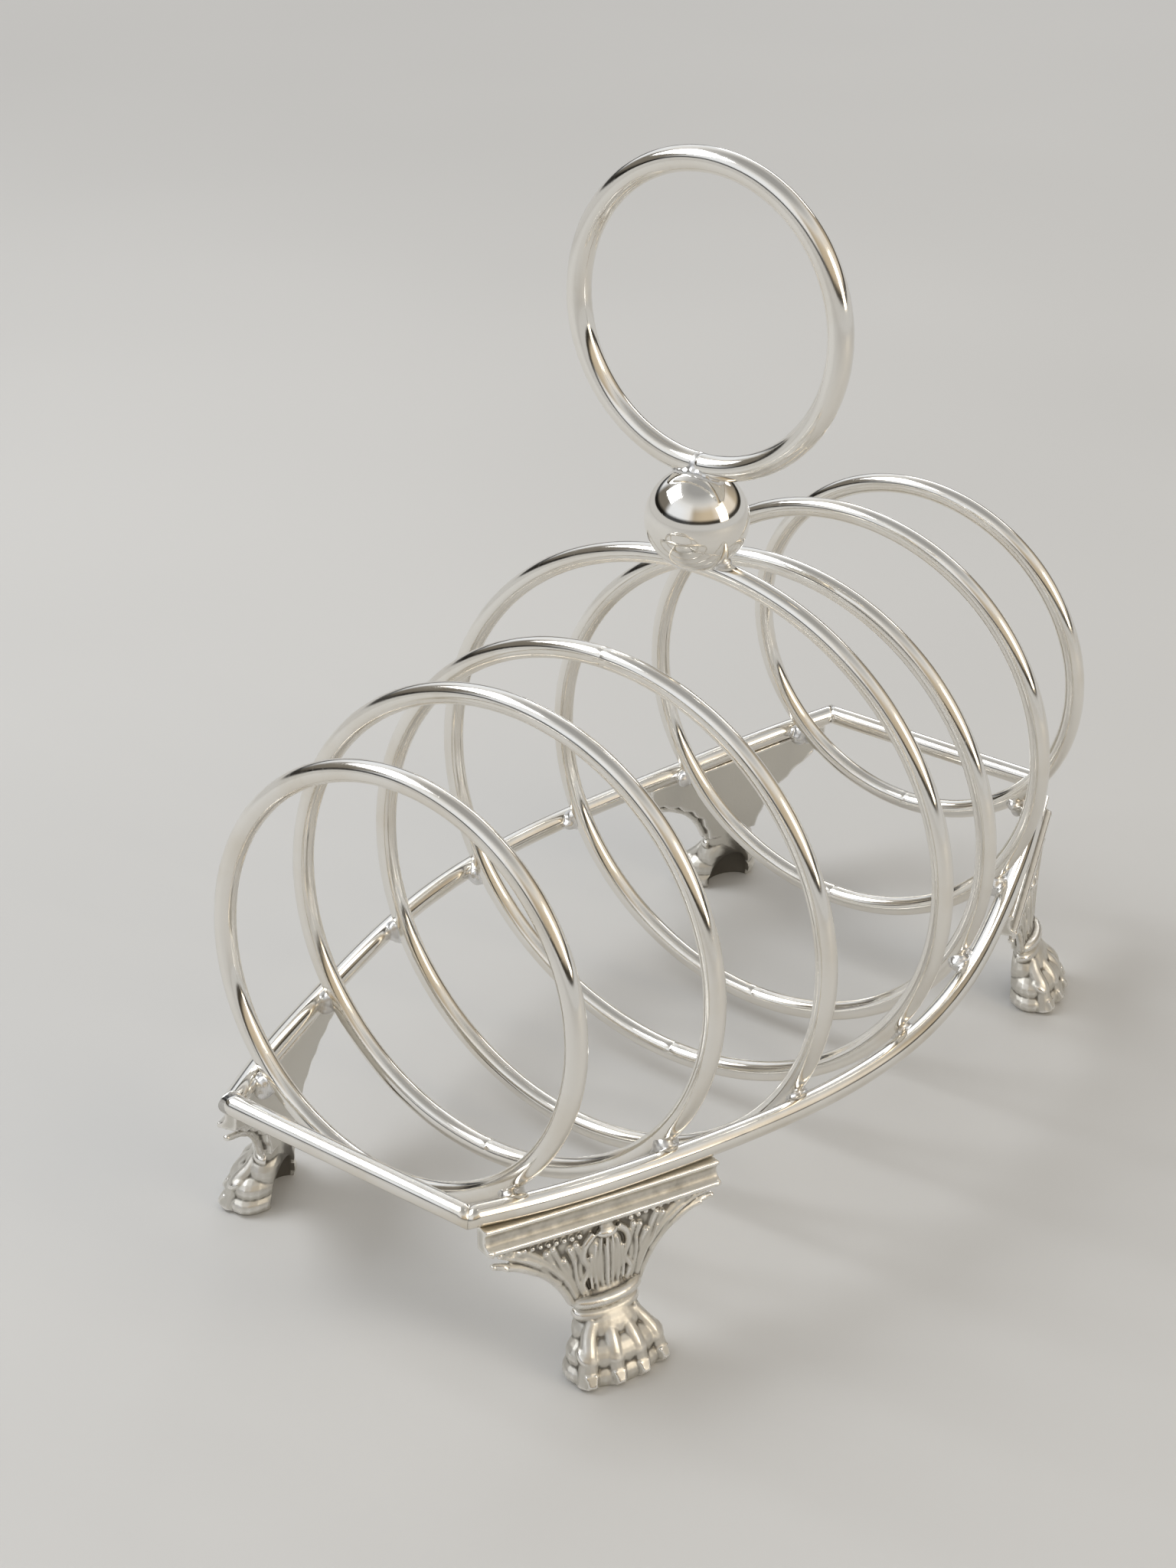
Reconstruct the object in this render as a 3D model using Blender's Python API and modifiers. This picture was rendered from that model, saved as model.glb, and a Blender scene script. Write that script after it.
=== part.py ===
import math

import bmesh
import bpy
from mathutils import Matrix, Vector

# Driving dimensions, in metres
MM = 0.001
PITCH = 24.0 * MM
HOOP_ROD = 3.3 * MM
RAIL_ROD = 3.4 * MM
RING_ROD = 3.85 * MM
SEAT_GAP = 0.3 * MM

# Hoops, from the ends to the middle: half width, half height, drop below the rails, lean inward
END_HOOP_HALF_WIDTH = 31.8 * MM
END_HOOP_HALF_HEIGHT = 31.4 * MM
END_HOOP_DROP = 6.8 * MM
END_HOOP_LEAN = 0.071
SECOND_HOOP_HALF_WIDTH = 38.1 * MM
SECOND_HOOP_HALF_HEIGHT = 37.1 * MM
SECOND_HOOP_DROP = 13.6 * MM
SECOND_HOOP_LEAN = 0.048
THIRD_HOOP_HALF_WIDTH = 41.8 * MM
THIRD_HOOP_HALF_HEIGHT = 41.0 * MM
THIRD_HOOP_DROP = 21.5 * MM
THIRD_HOOP_LEAN = 0.025
MIDDLE_HOOP_HALF_WIDTH = 47.1 * MM
MIDDLE_HOOP_HALF_HEIGHT = 44.2 * MM
MIDDLE_HOOP_DROP = 19.8 * MM

# Ball and ring: the hoop's rod runs through the ball's foot, and the ring sits in its top
BALL_DIAMETER = 16.0 * MM
BALL_SADDLE = 0.85 * MM
RING_RADIUS = 22.9 * MM
RING_LIFT = 0.55 * MM

# Boat-shaped base frame: the rails dip in the middle and draw in to the end bars
END_REACH = 10.5 * MM
END_BAR_HALF_WIDTH = 22.0 * MM
RAIL_LOW = 26.2 * MM
RAIL_RISE = 4.6 * MM

# Cast feet: cornice under the rail, leafy bracket, two-bead collar, hollow paw
FOOT_INSET = 19.7 * MM
FOOT_HALF_LENGTH = 20.0 * MM
FOOT_SPLAY = 2.0 * MM
CORNICE_HEIGHT = 3.9 * MM
CORNICE_DEPTH = 2.0 * MM
BRACKET_BACK = 1.1 * MM
BRACKET_FRONT = 0.9 * MM
LEAF_RELIEF = 0.4 * MM
COLLAR_BEAD = 2.2 * MM
COLLAR_HALF_WIDTH = 6.1 * MM
COLLAR_DEPTH = 3.1 * MM
PAW_HEIGHT = 8.0 * MM
PAW_HALF_WIDTH = 7.5 * MM
PAW_REACH = 8.7 * MM
PAW_WALL = 1.3 * MM

# How finely the rods and the castings are faceted
HOOP_STEPS = 48
RING_STEPS = 40
RAIL_STEPS = 36
FOOT_VOXEL = 0.32 * MM
FOOT_TRIANGLES = 1500
SHARP_EDGE = math.radians(40)

SILVER = (0.80, 0.79, 0.76, 1.0)
CAST_SILVER = (0.62, 0.61, 0.58, 1.0)

# One row a hoop, front to back
END_HOOP = (END_HOOP_HALF_WIDTH, END_HOOP_HALF_HEIGHT, END_HOOP_DROP, END_HOOP_LEAN)
SECOND_HOOP = (SECOND_HOOP_HALF_WIDTH, SECOND_HOOP_HALF_HEIGHT, SECOND_HOOP_DROP, SECOND_HOOP_LEAN)
THIRD_HOOP = (THIRD_HOOP_HALF_WIDTH, THIRD_HOOP_HALF_HEIGHT, THIRD_HOOP_DROP, THIRD_HOOP_LEAN)
MIDDLE_HOOP = (MIDDLE_HOOP_HALF_WIDTH, MIDDLE_HOOP_HALF_HEIGHT, MIDDLE_HOOP_DROP, 0.0)
HOOPS = (END_HOOP, SECOND_HOOP, THIRD_HOOP, MIDDLE_HOOP, THIRD_HOOP, SECOND_HOOP, END_HOOP)
MIDDLE = len(HOOPS) // 2
SIDES = ((-1, "left"), (1, "right"))
ENDS = ((-1, "front"), (1, "back"))

# Each toe's place across the paw, its place outward and how far its claw turns aside, as shares
TOES = ((-0.74, 0.48, -0.05), (-0.25, 0.62, -0.015), (0.25, 0.62, 0.015), (0.74, 0.48, 0.05))

# The bracket's scalloped lower edge, tip to collar, as shares of the foot's length and the leaf's height
BRACKET_EDGE = (
    (0.970, 0.97), (0.850, 0.93), (0.780, 0.81), (0.670, 0.77), (0.600, 0.63), (0.500, 0.56),
    (0.440, 0.40), (0.370, 0.33), (0.335, 0.15), (0.290, 0.03), (0.265, -0.15),
)

# The side leaves: place along, height, length and turn
SIDE_LEAVES = ((0.23, 0.26, 0.36, 0.50), (0.43, 0.60, 0.40, 0.80), (0.68, 0.84, 0.38, 1.20))

# Places that follow from the sizes above
FRAME_HALF_LENGTH = MIDDLE * PITCH + END_REACH
FOOT_PLACE = FRAME_HALF_LENGTH - FOOT_INSET
COLLAR_LOW = PAW_HEIGHT + COLLAR_BEAD / 2
COLLAR_HIGH = PAW_HEIGHT + COLLAR_BEAD * 3 / 2


def clear_scene():
    for obj in list(bpy.data.objects):
        bpy.data.objects.remove(obj, do_unlink=True)


def new_collection(name):
    made = bpy.data.collections.new(name)
    bpy.context.scene.collection.children.link(made)
    return made


def material_for(name, colour, roughness):
    made = bpy.data.materials.new(name)
    made.use_nodes = True
    shader = made.node_tree.nodes["Principled BSDF"]
    shader.inputs["Base Color"].default_value = colour
    shader.inputs["Metallic"].default_value = 1.0
    shader.inputs["Roughness"].default_value = roughness
    return made


def add_part(name, mesh, rack, frame, colour=SILVER, roughness=0.12):
    """Adds one piece of the rack, placed by its frame, under the rack's empty."""
    mesh.name = name
    mesh.shade_smooth()
    mesh.set_sharp_from_angle(angle=SHARP_EDGE)
    mesh.materials.clear()
    mesh.materials.append(material_for(name + "_silver", colour, roughness))
    obj = bpy.data.objects.new(name, mesh)
    rack.objects.link(obj)
    obj.parent = rack.objects["toast_rack_origin"]
    obj.matrix_world = frame
    return obj


def add_cutter(name, mesh, collection):
    obj = bpy.data.objects.new(name, mesh)
    collection.objects.link(obj)
    obj.hide_render = True
    obj.display_type = "WIRE"
    return obj


def evaluated_mesh(obj):
    bpy.context.view_layer.update()
    graph = bpy.context.evaluated_depsgraph_get()
    return bpy.data.meshes.new_from_object(obj.evaluated_get(graph))


def cut_away(obj, cutters):
    for cutter in cutters:
        cut = obj.modifiers.new("cut_" + cutter.name, "BOOLEAN")
        cut.operation = "DIFFERENCE"
        cut.solver = "EXACT"
        cut.object = cutter


def rod_mesh(points, diameter, closed):
    curve = bpy.data.curves.new("rod", "CURVE")
    curve.dimensions = "3D"
    curve.bevel_depth = diameter / 2
    curve.bevel_resolution = 2
    curve.use_fill_caps = not closed
    spline = curve.splines.new("POLY")
    spline.points.add(len(points) - 1)
    for place, point in zip(spline.points, points):
        place.co = (*point, 1.0)
    spline.use_cyclic_u = closed
    guide = bpy.data.objects.new("rod", curve)
    bpy.context.scene.collection.objects.link(guide)
    mesh = evaluated_mesh(guide)
    bpy.data.objects.remove(guide, do_unlink=True)
    work = bmesh.new()
    work.from_mesh(mesh)
    bmesh.ops.remove_doubles(work, verts=work.verts, dist=1e-6)
    bmesh.ops.recalc_face_normals(work, faces=work.faces)
    work.to_mesh(mesh)
    work.free()
    return mesh


def box_mesh(name, place, size, turn):
    mesh = bpy.data.meshes.new(name)
    work = bmesh.new()
    bmesh.ops.create_cube(work, size=1.0)
    frame = Matrix.Translation(place) @ turn.to_4x4() @ Matrix.Diagonal((*size, 1.0))
    bmesh.ops.transform(work, matrix=frame, verts=work.verts)
    work.to_mesh(mesh)
    work.free()
    return mesh


def oval_point(half_width, half_height, turn):
    return Vector((half_width * math.cos(turn), 0.0, half_height * math.sin(turn)))


def oval(half_width, half_height, steps):
    return [oval_point(half_width, half_height, 2 * math.pi * step / steps) for step in range(steps)]


def oval_arc(half_width, half_height, middle, spread, steps):
    turns = [middle + spread * (2 * step / steps - 1) for step in range(steps + 1)]
    return [oval_point(half_width, half_height, turn) for turn in turns]


def rail_height(along):
    return RAIL_LOW + RAIL_RISE * (along / FRAME_HALF_LENGTH) ** 2


def hoop_seat(index):
    """How a hoop stands on the rails: its tilt, and how far below its centre the rails touch it."""
    _, half_height, drop, lean = HOOPS[index]
    toward_middle = (index < MIDDLE) - (index > MIDDLE)
    return math.atan(lean) * toward_middle, half_height - drop


def hoop_frame(index):
    """The hoop's own frame: its centre, and its plane leaning toward the middle hoop."""
    slant, hang = hoop_seat(index)
    along = (index - MIDDLE) * PITCH
    height = rail_height(along - hang * math.sin(slant)) + hang * math.cos(slant)
    return Matrix.Translation((0.0, along, height)) @ Matrix.Rotation(-slant, 4, "X")


def contact(index, slope):
    """Where the rail's axis passes a hoop: (along, half width), the two rods a seat gap apart."""
    half_width, half_height, _, _ = HOOPS[index]
    slant, hang = hoop_seat(index)
    along = (index - MIDDLE) * PITCH - hang * math.sin(slant)
    sine = -hang / half_height
    cosine = math.sqrt(1 - sine * sine)
    lean_in = math.atan2(-sine * half_width, cosine * half_height)
    rail_way = math.cos(math.atan(slope))
    facing = math.cos(lean_in) * rail_way
    facing /= math.sqrt(math.cos(lean_in) ** 2 + (math.sin(lean_in) * rail_way) ** 2)
    apart = (HOOP_ROD + RAIL_ROD) / 2 + SEAT_GAP
    return along, half_width * cosine + apart / facing


def second_slopes(places, values):
    """Second derivatives of the natural cubic curve through the points."""
    count = len(places)
    upper = [0.0] * count
    right = [0.0] * count
    for index in range(1, count - 1):
        before = places[index] - places[index - 1]
        after = places[index + 1] - places[index]
        rise = (values[index + 1] - values[index]) / after - (values[index] - values[index - 1]) / before
        pivot = 2 * (before + after) - before * upper[index - 1]
        upper[index] = after / pivot
        right[index] = (6 * rise - before * right[index - 1]) / pivot
    bends = [0.0] * count
    for index in range(count - 2, 0, -1):
        bends[index] = right[index] - upper[index] * bends[index + 1]
    return bends


def curve_at(knots, along):
    places, values, bends = knots
    index = 0
    while index < len(places) - 2 and along > places[index + 1]:
        index += 1
    span = places[index + 1] - places[index]
    near = (places[index + 1] - along) / span
    far = 1 - near
    bow = ((near**3 - near) * bends[index] + (far**3 - far) * bends[index + 1]) * span**2 / 6
    return near * values[index] + far * values[index + 1] + bow


def rail_knots():
    """The rail's half width along the frame: it touches every hoop and ends at the end bars."""
    slopes = [0.0] * len(HOOPS)
    knots = None
    for _ in range(4):
        places = [-FRAME_HALF_LENGTH]
        values = [END_BAR_HALF_WIDTH]
        for index in range(len(HOOPS)):
            along, width = contact(index, slopes[index])
            places.append(along)
            values.append(width)
        places.append(FRAME_HALF_LENGTH)
        values.append(END_BAR_HALF_WIDTH)
        knots = (places, values, second_slopes(places, values))
        step = 0.5 * MM
        for index in range(len(HOOPS)):
            along = places[index + 1]
            slopes[index] = (curve_at(knots, along + step) - curve_at(knots, along - step)) / (2 * step)
    return knots


RAIL = rail_knots()


def rail_width(along):
    return curve_at(RAIL, along)


def rail_point(side, along):
    return Vector((side * rail_width(along), along, rail_height(along)))


def corner_ways(side, end):
    """A corner of the frame and the two directions that run into it: the rail's and the bar's."""
    corner = rail_point(side, end * FRAME_HALF_LENGTH)
    before = rail_point(side, end * (FRAME_HALF_LENGTH - 1.0 * MM))
    return corner, (corner - before).normalized(), Vector((side, 0.0, 0.0))


def mitre_cutter(name, corner, forward, cutters):
    """A box that takes off what lies past a corner's mitre, less half a seat gap."""
    depth = 8 * RAIL_ROD
    upward = Vector((0.0, 0.0, 1.0))
    sideways = forward.cross(upward).normalized()
    upward = sideways.cross(forward)
    turn = Matrix((sideways, forward, upward)).transposed()
    place = corner + forward * (depth - SEAT_GAP) / 2
    return add_cutter(name, box_mesh(name, place, (depth, depth, depth), turn), cutters)


def build_hoops(rack):
    for index, (half_width, half_height, _, _) in enumerate(HOOPS):
        mesh = rod_mesh(oval(half_width, half_height, HOOP_STEPS), HOOP_ROD, True)
        add_part("hoop_" + str(index + 1), mesh, rack, hoop_frame(index))


def build_side_rails(rack, cutters):
    spare = 1.5 * RAIL_ROD
    for side, side_name in SIDES:
        points = []
        for step in range(RAIL_STEPS + 1):
            points.append(rail_point(side, FRAME_HALF_LENGTH * (2 * step / RAIL_STEPS - 1)))
        points.insert(0, points[0] + (points[0] - points[1]).normalized() * spare)
        points.append(points[-1] + (points[-1] - points[-2]).normalized() * spare)
        rail = add_part("side_rail_" + side_name, rod_mesh(points, RAIL_ROD, False), rack, Matrix())
        for end, end_name in ENDS:
            corner, rail_way, bar_way = corner_ways(side, end)
            name = "rail_mitre_" + side_name + "_" + end_name
            cut_away(rail, [mitre_cutter(name, corner, (rail_way - bar_way).normalized(), cutters)])


def build_end_bars(rack, cutters):
    half = END_BAR_HALF_WIDTH + 1.5 * RAIL_ROD
    for end, end_name in ENDS:
        points = [(half * (step / 4 - 1), 0.0, 0.0) for step in range(9)]
        place = (0.0, end * FRAME_HALF_LENGTH, rail_height(FRAME_HALF_LENGTH))
        mesh = rod_mesh(points, RAIL_ROD, False)
        bar = add_part("end_bar_" + end_name, mesh, rack, Matrix.Translation(place))
        for side, side_name in SIDES:
            corner, rail_way, bar_way = corner_ways(side, end)
            name = "bar_mitre_" + side_name + "_" + end_name
            cut_away(bar, [mitre_cutter(name, corner, (bar_way - rail_way).normalized(), cutters)])


def build_handle(rack, cutters):
    crown = hoop_frame(MIDDLE).translation.z + MIDDLE_HOOP_HALF_HEIGHT
    ball_height = crown + BALL_DIAMETER / 2 - BALL_SADDLE
    ring_height = ball_height + BALL_DIAMETER / 2 + RING_LIFT + RING_RADIUS
    ring_frame = Matrix.Translation((0.0, 0.0, ring_height))
    ring = rod_mesh(oval(RING_RADIUS, RING_RADIUS, RING_STEPS), RING_ROD, True)
    add_part("ring_handle", ring, rack, ring_frame)
    mesh = bpy.data.meshes.new("ball")
    work = bmesh.new()
    bmesh.ops.create_uvsphere(work, u_segments=32, v_segments=18, radius=BALL_DIAMETER / 2)
    work.to_mesh(mesh)
    work.free()
    ball = add_part("ball", mesh, rack, Matrix.Translation((0.0, 0.0, ball_height)), roughness=0.05)
    quarter = math.pi / 2
    over_hoop = 0.8 * BALL_DIAMETER / MIDDLE_HOOP_HALF_WIDTH
    over_ring = 0.8 * BALL_DIAMETER / RING_RADIUS
    arch = oval_arc(MIDDLE_HOOP_HALF_WIDTH, MIDDLE_HOOP_HALF_HEIGHT, quarter, over_hoop, 24)
    dip = oval_arc(RING_RADIUS, RING_RADIUS, -quarter, over_ring, 24)
    saddle = add_cutter("hoop_saddle", rod_mesh(arch, HOOP_ROD + 2 * SEAT_GAP, False), cutters)
    saddle.matrix_world = hoop_frame(MIDDLE)
    seat = add_cutter("ring_seat", rod_mesh(dip, RING_ROD + 2 * SEAT_GAP, False), cutters)
    seat.matrix_world = ring_frame
    cut_away(ball, [saddle, seat])


def add_lump(work, place, size, turn=0.0, tilt=0.0):
    """One rounded lump of the casting: a sphere stretched to the given half sizes."""
    frame = (
        Matrix.Translation(place)
        @ Matrix.Rotation(turn, 4, "Y")
        @ Matrix.Rotation(tilt, 4, "X")
        @ Matrix.Diagonal((*size, 1.0))
    )
    bmesh.ops.create_uvsphere(work, u_segments=20, v_segments=12, radius=1.0, matrix=frame)


def foot_slope():
    """Plan angle of the rail over the foot."""
    inner = rail_width(FOOT_PLACE - FOOT_HALF_LENGTH / 2)
    outer = rail_width(FOOT_PLACE + FOOT_HALF_LENGTH / 2)
    return math.atan2(inner - outer, FOOT_HALF_LENGTH)


def foot_top(along):
    """Height of the cornice's top, under the rail: along runs toward the frame's middle."""
    place = FOOT_PLACE - along * math.cos(foot_slope())
    return rail_height(place) - RAIL_ROD / 2 - SEAT_GAP


def leaf_height(along, share):
    """A height between the collar, at 0, and the cornice, at 1."""
    base = PAW_HEIGHT + 2 * COLLAR_BEAD
    reach = abs(along) / FOOT_HALF_LENGTH
    top = foot_top(0.0) + (foot_top(along) - foot_top(0.0)) * reach - CORNICE_HEIGHT
    return base + (top - base) * share


def add_cornice(work):
    profile = (
        (-BRACKET_BACK, 0.0),
        (0.95 * CORNICE_DEPTH, 0.0),
        (0.95 * CORNICE_DEPTH, 0.18),
        (0.60 * CORNICE_DEPTH, 0.28),
        (0.45 * CORNICE_DEPTH, 0.54),
        (0.60 * CORNICE_DEPTH, 0.72),
        (CORNICE_DEPTH, 0.80),
        (CORNICE_DEPTH, 1.0),
        (-BRACKET_BACK, 1.0),
    )
    rows = []
    stations = 10
    for step in range(stations + 1):
        along = FOOT_HALF_LENGTH * (2 * step / stations - 1)
        top = foot_top(along)
        rows.append([work.verts.new((along, out, top - drop * CORNICE_HEIGHT)) for out, drop in profile])
    count = len(profile)
    for first, second in zip(rows, rows[1:]):
        for index in range(count):
            after = (index + 1) % count
            work.faces.new((first[index], first[after], second[after], second[index]))
    work.faces.new(list(reversed(rows[0])))
    work.faces.new(rows[-1])


def add_bracket(work):
    near = [(-FOOT_HALF_LENGTH * out, share) for out, share in BRACKET_EDGE]
    far = [(FOOT_HALF_LENGTH * out, share) for out, share in reversed(BRACKET_EDGE)]
    outline = [(along, leaf_height(along, share)) for along, share in near + far]
    for step in range(11):
        along = 0.95 * FOOT_HALF_LENGTH * (1 - step / 5)
        outline.append((along, foot_top(along) - 0.85 * CORNICE_HEIGHT))
    rear = [work.verts.new((along, -BRACKET_BACK, height)) for along, height in outline]
    fore = [work.verts.new((along, BRACKET_FRONT, height)) for along, height in outline]
    work.faces.new(rear)
    work.faces.new(list(reversed(fore)))
    count = len(outline)
    for index in range(count):
        after = (index + 1) % count
        work.faces.new((rear[index], fore[index], fore[after], rear[after]))


def add_leaves(work):
    """The upright middle leaf in two lobes, and the leaves that sweep out to both tips."""
    zone = leaf_height(0.0, 1.0) - leaf_height(0.0, 0.0)
    deep = BRACKET_FRONT + LEAF_RELIEF
    for side in (-1, 1):
        lobe = side * 0.20 * COLLAR_HALF_WIDTH
        wide = 0.25 * COLLAR_HALF_WIDTH
        add_lump(work, (lobe, BRACKET_FRONT, leaf_height(0.0, 0.30)), (wide, deep, 0.43 * zone), side * 0.12)
        add_lump(work, (lobe, 1.4 * BRACKET_FRONT, leaf_height(0.0, 0.67)), (wide, deep, 0.12 * zone))
        for out, share, reach, turn in SIDE_LEAVES:
            along = side * out * FOOT_HALF_LENGTH
            place = (along, BRACKET_FRONT, leaf_height(along, share))
            add_lump(work, place, (0.06 * FOOT_HALF_LENGTH, 0.8 * deep, reach * zone), side * turn)


def add_collar(work):
    middle = COLLAR_DEPTH / 6
    narrow = 0.92 * COLLAR_HALF_WIDTH
    bead = COLLAR_BEAD / 2
    add_lump(work, (0.0, middle, COLLAR_HIGH), (COLLAR_HALF_WIDTH, 0.87 * COLLAR_DEPTH, bead))
    add_lump(work, (0.0, middle, COLLAR_LOW), (narrow, 0.80 * COLLAR_DEPTH, bead))
    core = (0.83 * COLLAR_HALF_WIDTH, 0.67 * COLLAR_DEPTH, 1.45 * COLLAR_BEAD)
    add_lump(work, (0.0, middle, PAW_HEIGHT + 0.9 * COLLAR_BEAD), core)


def add_paw(work):
    wide = PAW_HALF_WIDTH
    tall = PAW_HEIGHT
    reach = PAW_REACH
    add_lump(work, (0.0, 0.13 * reach, 0.68 * tall), (0.80 * wide, 0.42 * reach, 0.60 * tall))
    add_lump(work, (0.0, 0.33 * reach, 0.32 * tall), (0.95 * wide, 0.48 * reach, 0.45 * tall))
    for along, out, aside in TOES:
        knuckle = (0.9 * along * wide, (out - 0.15) * reach, 0.59 * tall)
        add_lump(work, knuckle, (0.21 * wide, 0.27 * reach, 0.19 * tall), 0.0, -0.55)
        toe = (along * wide, out * reach, 0.29 * tall)
        add_lump(work, toe, (0.26 * wide, 0.29 * reach, 0.25 * tall), 0.0, -0.15)
        claw = ((along + aside) * wide, (out + 0.25) * reach, 0.15 * tall)
        add_lump(work, claw, (0.15 * wide, 0.14 * reach, 0.145 * tall))


def paw_hollow(cutters):
    """The casting is a shell: its paw is open at the back and below."""
    mesh = bpy.data.meshes.new("paw_hollow")
    work = bmesh.new()
    size = (0.80 * PAW_HALF_WIDTH - PAW_WALL, 0.50 * PAW_REACH - PAW_WALL, 0.80 * PAW_HEIGHT - PAW_WALL)
    add_lump(work, (0.0, -BRACKET_BACK, 0.15 * PAW_HEIGHT), size)
    work.to_mesh(mesh)
    work.free()
    return add_cutter("paw_hollow", mesh, cutters)


def settle(obj):
    """Replaces an object's mesh by its evaluated one."""
    mesh = evaluated_mesh(obj)
    obj.modifiers.clear()
    obj.data = mesh
    return mesh


def slice_flat(mesh, place, keep):
    """Cuts a mesh flat at a plane and closes it, keeping what lies along the given direction."""
    work = bmesh.new()
    work.from_mesh(mesh)
    geometry = work.verts[:] + work.edges[:] + work.faces[:]
    cut = bmesh.ops.bisect_plane(
        work, geom=geometry, dist=1e-6, plane_co=place, plane_no=keep, clear_inner=True
    )
    rim = [part for part in cut["geom_cut"] if isinstance(part, bmesh.types.BMEdge)]
    bmesh.ops.contextual_create(work, geom=rim)
    bmesh.ops.remove_doubles(work, verts=work.verts, dist=5e-6)
    bmesh.ops.triangulate(work, faces=work.faces)
    bmesh.ops.recalc_face_normals(work, faces=work.faces)
    work.to_mesh(mesh)
    work.free()


def splay(mesh):
    """Leans the casting outward from the rail down to the table."""
    top = foot_top(0.0)
    for vertex in mesh.vertices:
        vertex.co.y += FOOT_SPLAY * (1 - vertex.co.z / top)


def foot_mesh(cutters):
    """One foot in its own frame: X along the rail, Y outward, Z up from the table."""
    lumps = bpy.data.meshes.new("foot_casting")
    work = bmesh.new()
    add_cornice(work)
    add_bracket(work)
    add_leaves(work)
    add_collar(work)
    add_paw(work)
    bmesh.ops.recalc_face_normals(work, faces=work.faces)
    work.to_mesh(lumps)
    work.free()
    casting = add_cutter("foot_casting", lumps, cutters)
    remesh = casting.modifiers.new("cast", "REMESH")
    remesh.mode = "VOXEL"
    remesh.voxel_size = FOOT_VOXEL
    settle(casting)
    cut_away(casting, [paw_hollow(cutters)])
    whole = settle(casting)
    whole.calc_loop_triangles()
    fewer = casting.modifiers.new("fewer", "DECIMATE")
    fewer.ratio = FOOT_TRIANGLES / len(whole.loop_triangles)
    final = settle(casting)
    bpy.data.objects.remove(casting, do_unlink=True)
    slice_flat(final, (0.0, -BRACKET_BACK, 0.0), (0.0, 1.0, 0.0))
    splay(final)
    slice_flat(final, (0.0, 0.0, 0.0), (0.0, 0.0, 1.0))
    return final


def build_feet(rack, cutters):
    casting = foot_mesh(cutters)
    slope = foot_slope()
    inward = Vector((math.sin(slope), math.cos(slope), 0.0))
    outward = Vector((math.cos(slope), -math.sin(slope), 0.0))
    turn = Matrix((inward, outward, (0.0, 0.0, 1.0))).transposed().to_4x4()
    frame = Matrix.Translation((rail_width(FOOT_PLACE), -FOOT_PLACE, 0.0)) @ turn
    for end, end_name in ENDS:
        for side, side_name in SIDES:
            mirror = Matrix.Diagonal((side, -end, 1.0, 1.0))
            name = "foot_" + end_name + "_" + side_name
            add_part(name, casting.copy(), rack, mirror @ frame, CAST_SILVER, 0.35)


def main():
    clear_scene()
    rack = new_collection("toast_rack")
    rack.objects.link(bpy.data.objects.new("toast_rack_origin", None))
    cutters = new_collection("cutters")
    cutters.hide_render = True
    build_hoops(rack)
    build_side_rails(rack, cutters)
    build_end_bars(rack, cutters)
    build_handle(rack, cutters)
    build_feet(rack, cutters)


main()
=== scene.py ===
import math
import random

import bmesh
import bpy
import numpy
from mathutils import Matrix, Vector, noise


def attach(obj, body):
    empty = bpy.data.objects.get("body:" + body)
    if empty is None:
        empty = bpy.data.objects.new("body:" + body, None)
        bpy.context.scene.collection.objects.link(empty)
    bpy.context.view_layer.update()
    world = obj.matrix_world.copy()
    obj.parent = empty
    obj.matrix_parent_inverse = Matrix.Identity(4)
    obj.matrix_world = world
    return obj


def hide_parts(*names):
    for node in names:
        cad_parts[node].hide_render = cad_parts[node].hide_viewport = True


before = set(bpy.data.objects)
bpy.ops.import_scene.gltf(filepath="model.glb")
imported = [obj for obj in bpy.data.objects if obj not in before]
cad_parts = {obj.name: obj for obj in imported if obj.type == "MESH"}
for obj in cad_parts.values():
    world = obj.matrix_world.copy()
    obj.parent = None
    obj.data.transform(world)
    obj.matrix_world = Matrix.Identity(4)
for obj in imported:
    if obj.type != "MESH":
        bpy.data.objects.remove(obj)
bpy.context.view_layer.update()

# Sizes shared with the part, in metres
MM = 0.001
PITCH = 24.0 * MM
HOOP_ROD = 3.3 * MM
RAIL_ROD = 3.4 * MM
RING_ROD = 3.85 * MM
SEAT_GAP = 0.3 * MM
END_HOOP = (31.8 * MM, 31.4 * MM, 6.8 * MM, 0.071)
SECOND_HOOP = (38.1 * MM, 37.1 * MM, 13.6 * MM, 0.048)
THIRD_HOOP = (41.8 * MM, 41.0 * MM, 21.5 * MM, 0.025)
MIDDLE_HOOP = (47.1 * MM, 44.2 * MM, 19.8 * MM, 0.0)
HOOPS = (END_HOOP, SECOND_HOOP, THIRD_HOOP, MIDDLE_HOOP, THIRD_HOOP, SECOND_HOOP, END_HOOP)
MIDDLE = len(HOOPS) // 2
BALL_RADIUS = 8.0 * MM
BALL_SADDLE = 0.85 * MM
RING_RADIUS = 22.9 * MM
RING_LIFT = 0.55 * MM
END_BAR_HALF_WIDTH = 22.0 * MM
RAIL_LOW = 26.2 * MM
RAIL_RISE = 4.6 * MM
FRAME_HALF_LENGTH = MIDDLE * PITCH + 10.5 * MM
FOOT_PLACE = FRAME_HALF_LENGTH - 19.7 * MM
FOOT_HALF_LENGTH = 20.0 * MM
FOOT_SPLAY = 2.0 * MM
CORNICE_HEIGHT = 3.9 * MM
CORNICE_DEPTH = 2.0 * MM
BRACKET_BACK = 1.1 * MM
BRACKET_FRONT = 0.7 * MM
COLLAR_BEAD = 2.2 * MM
COLLAR_HALF_WIDTH = 6.1 * MM
COLLAR_DEPTH = 3.1 * MM
PAW_HEIGHT = 8.0 * MM
PAW_HALF_WIDTH = 7.5 * MM
PAW_REACH = 8.7 * MM
PAW_WALL = 1.3 * MM
SIDES = ((-1, "left"), (1, "right"))
ENDS = ((-1, "front"), (1, "back"))

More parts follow.
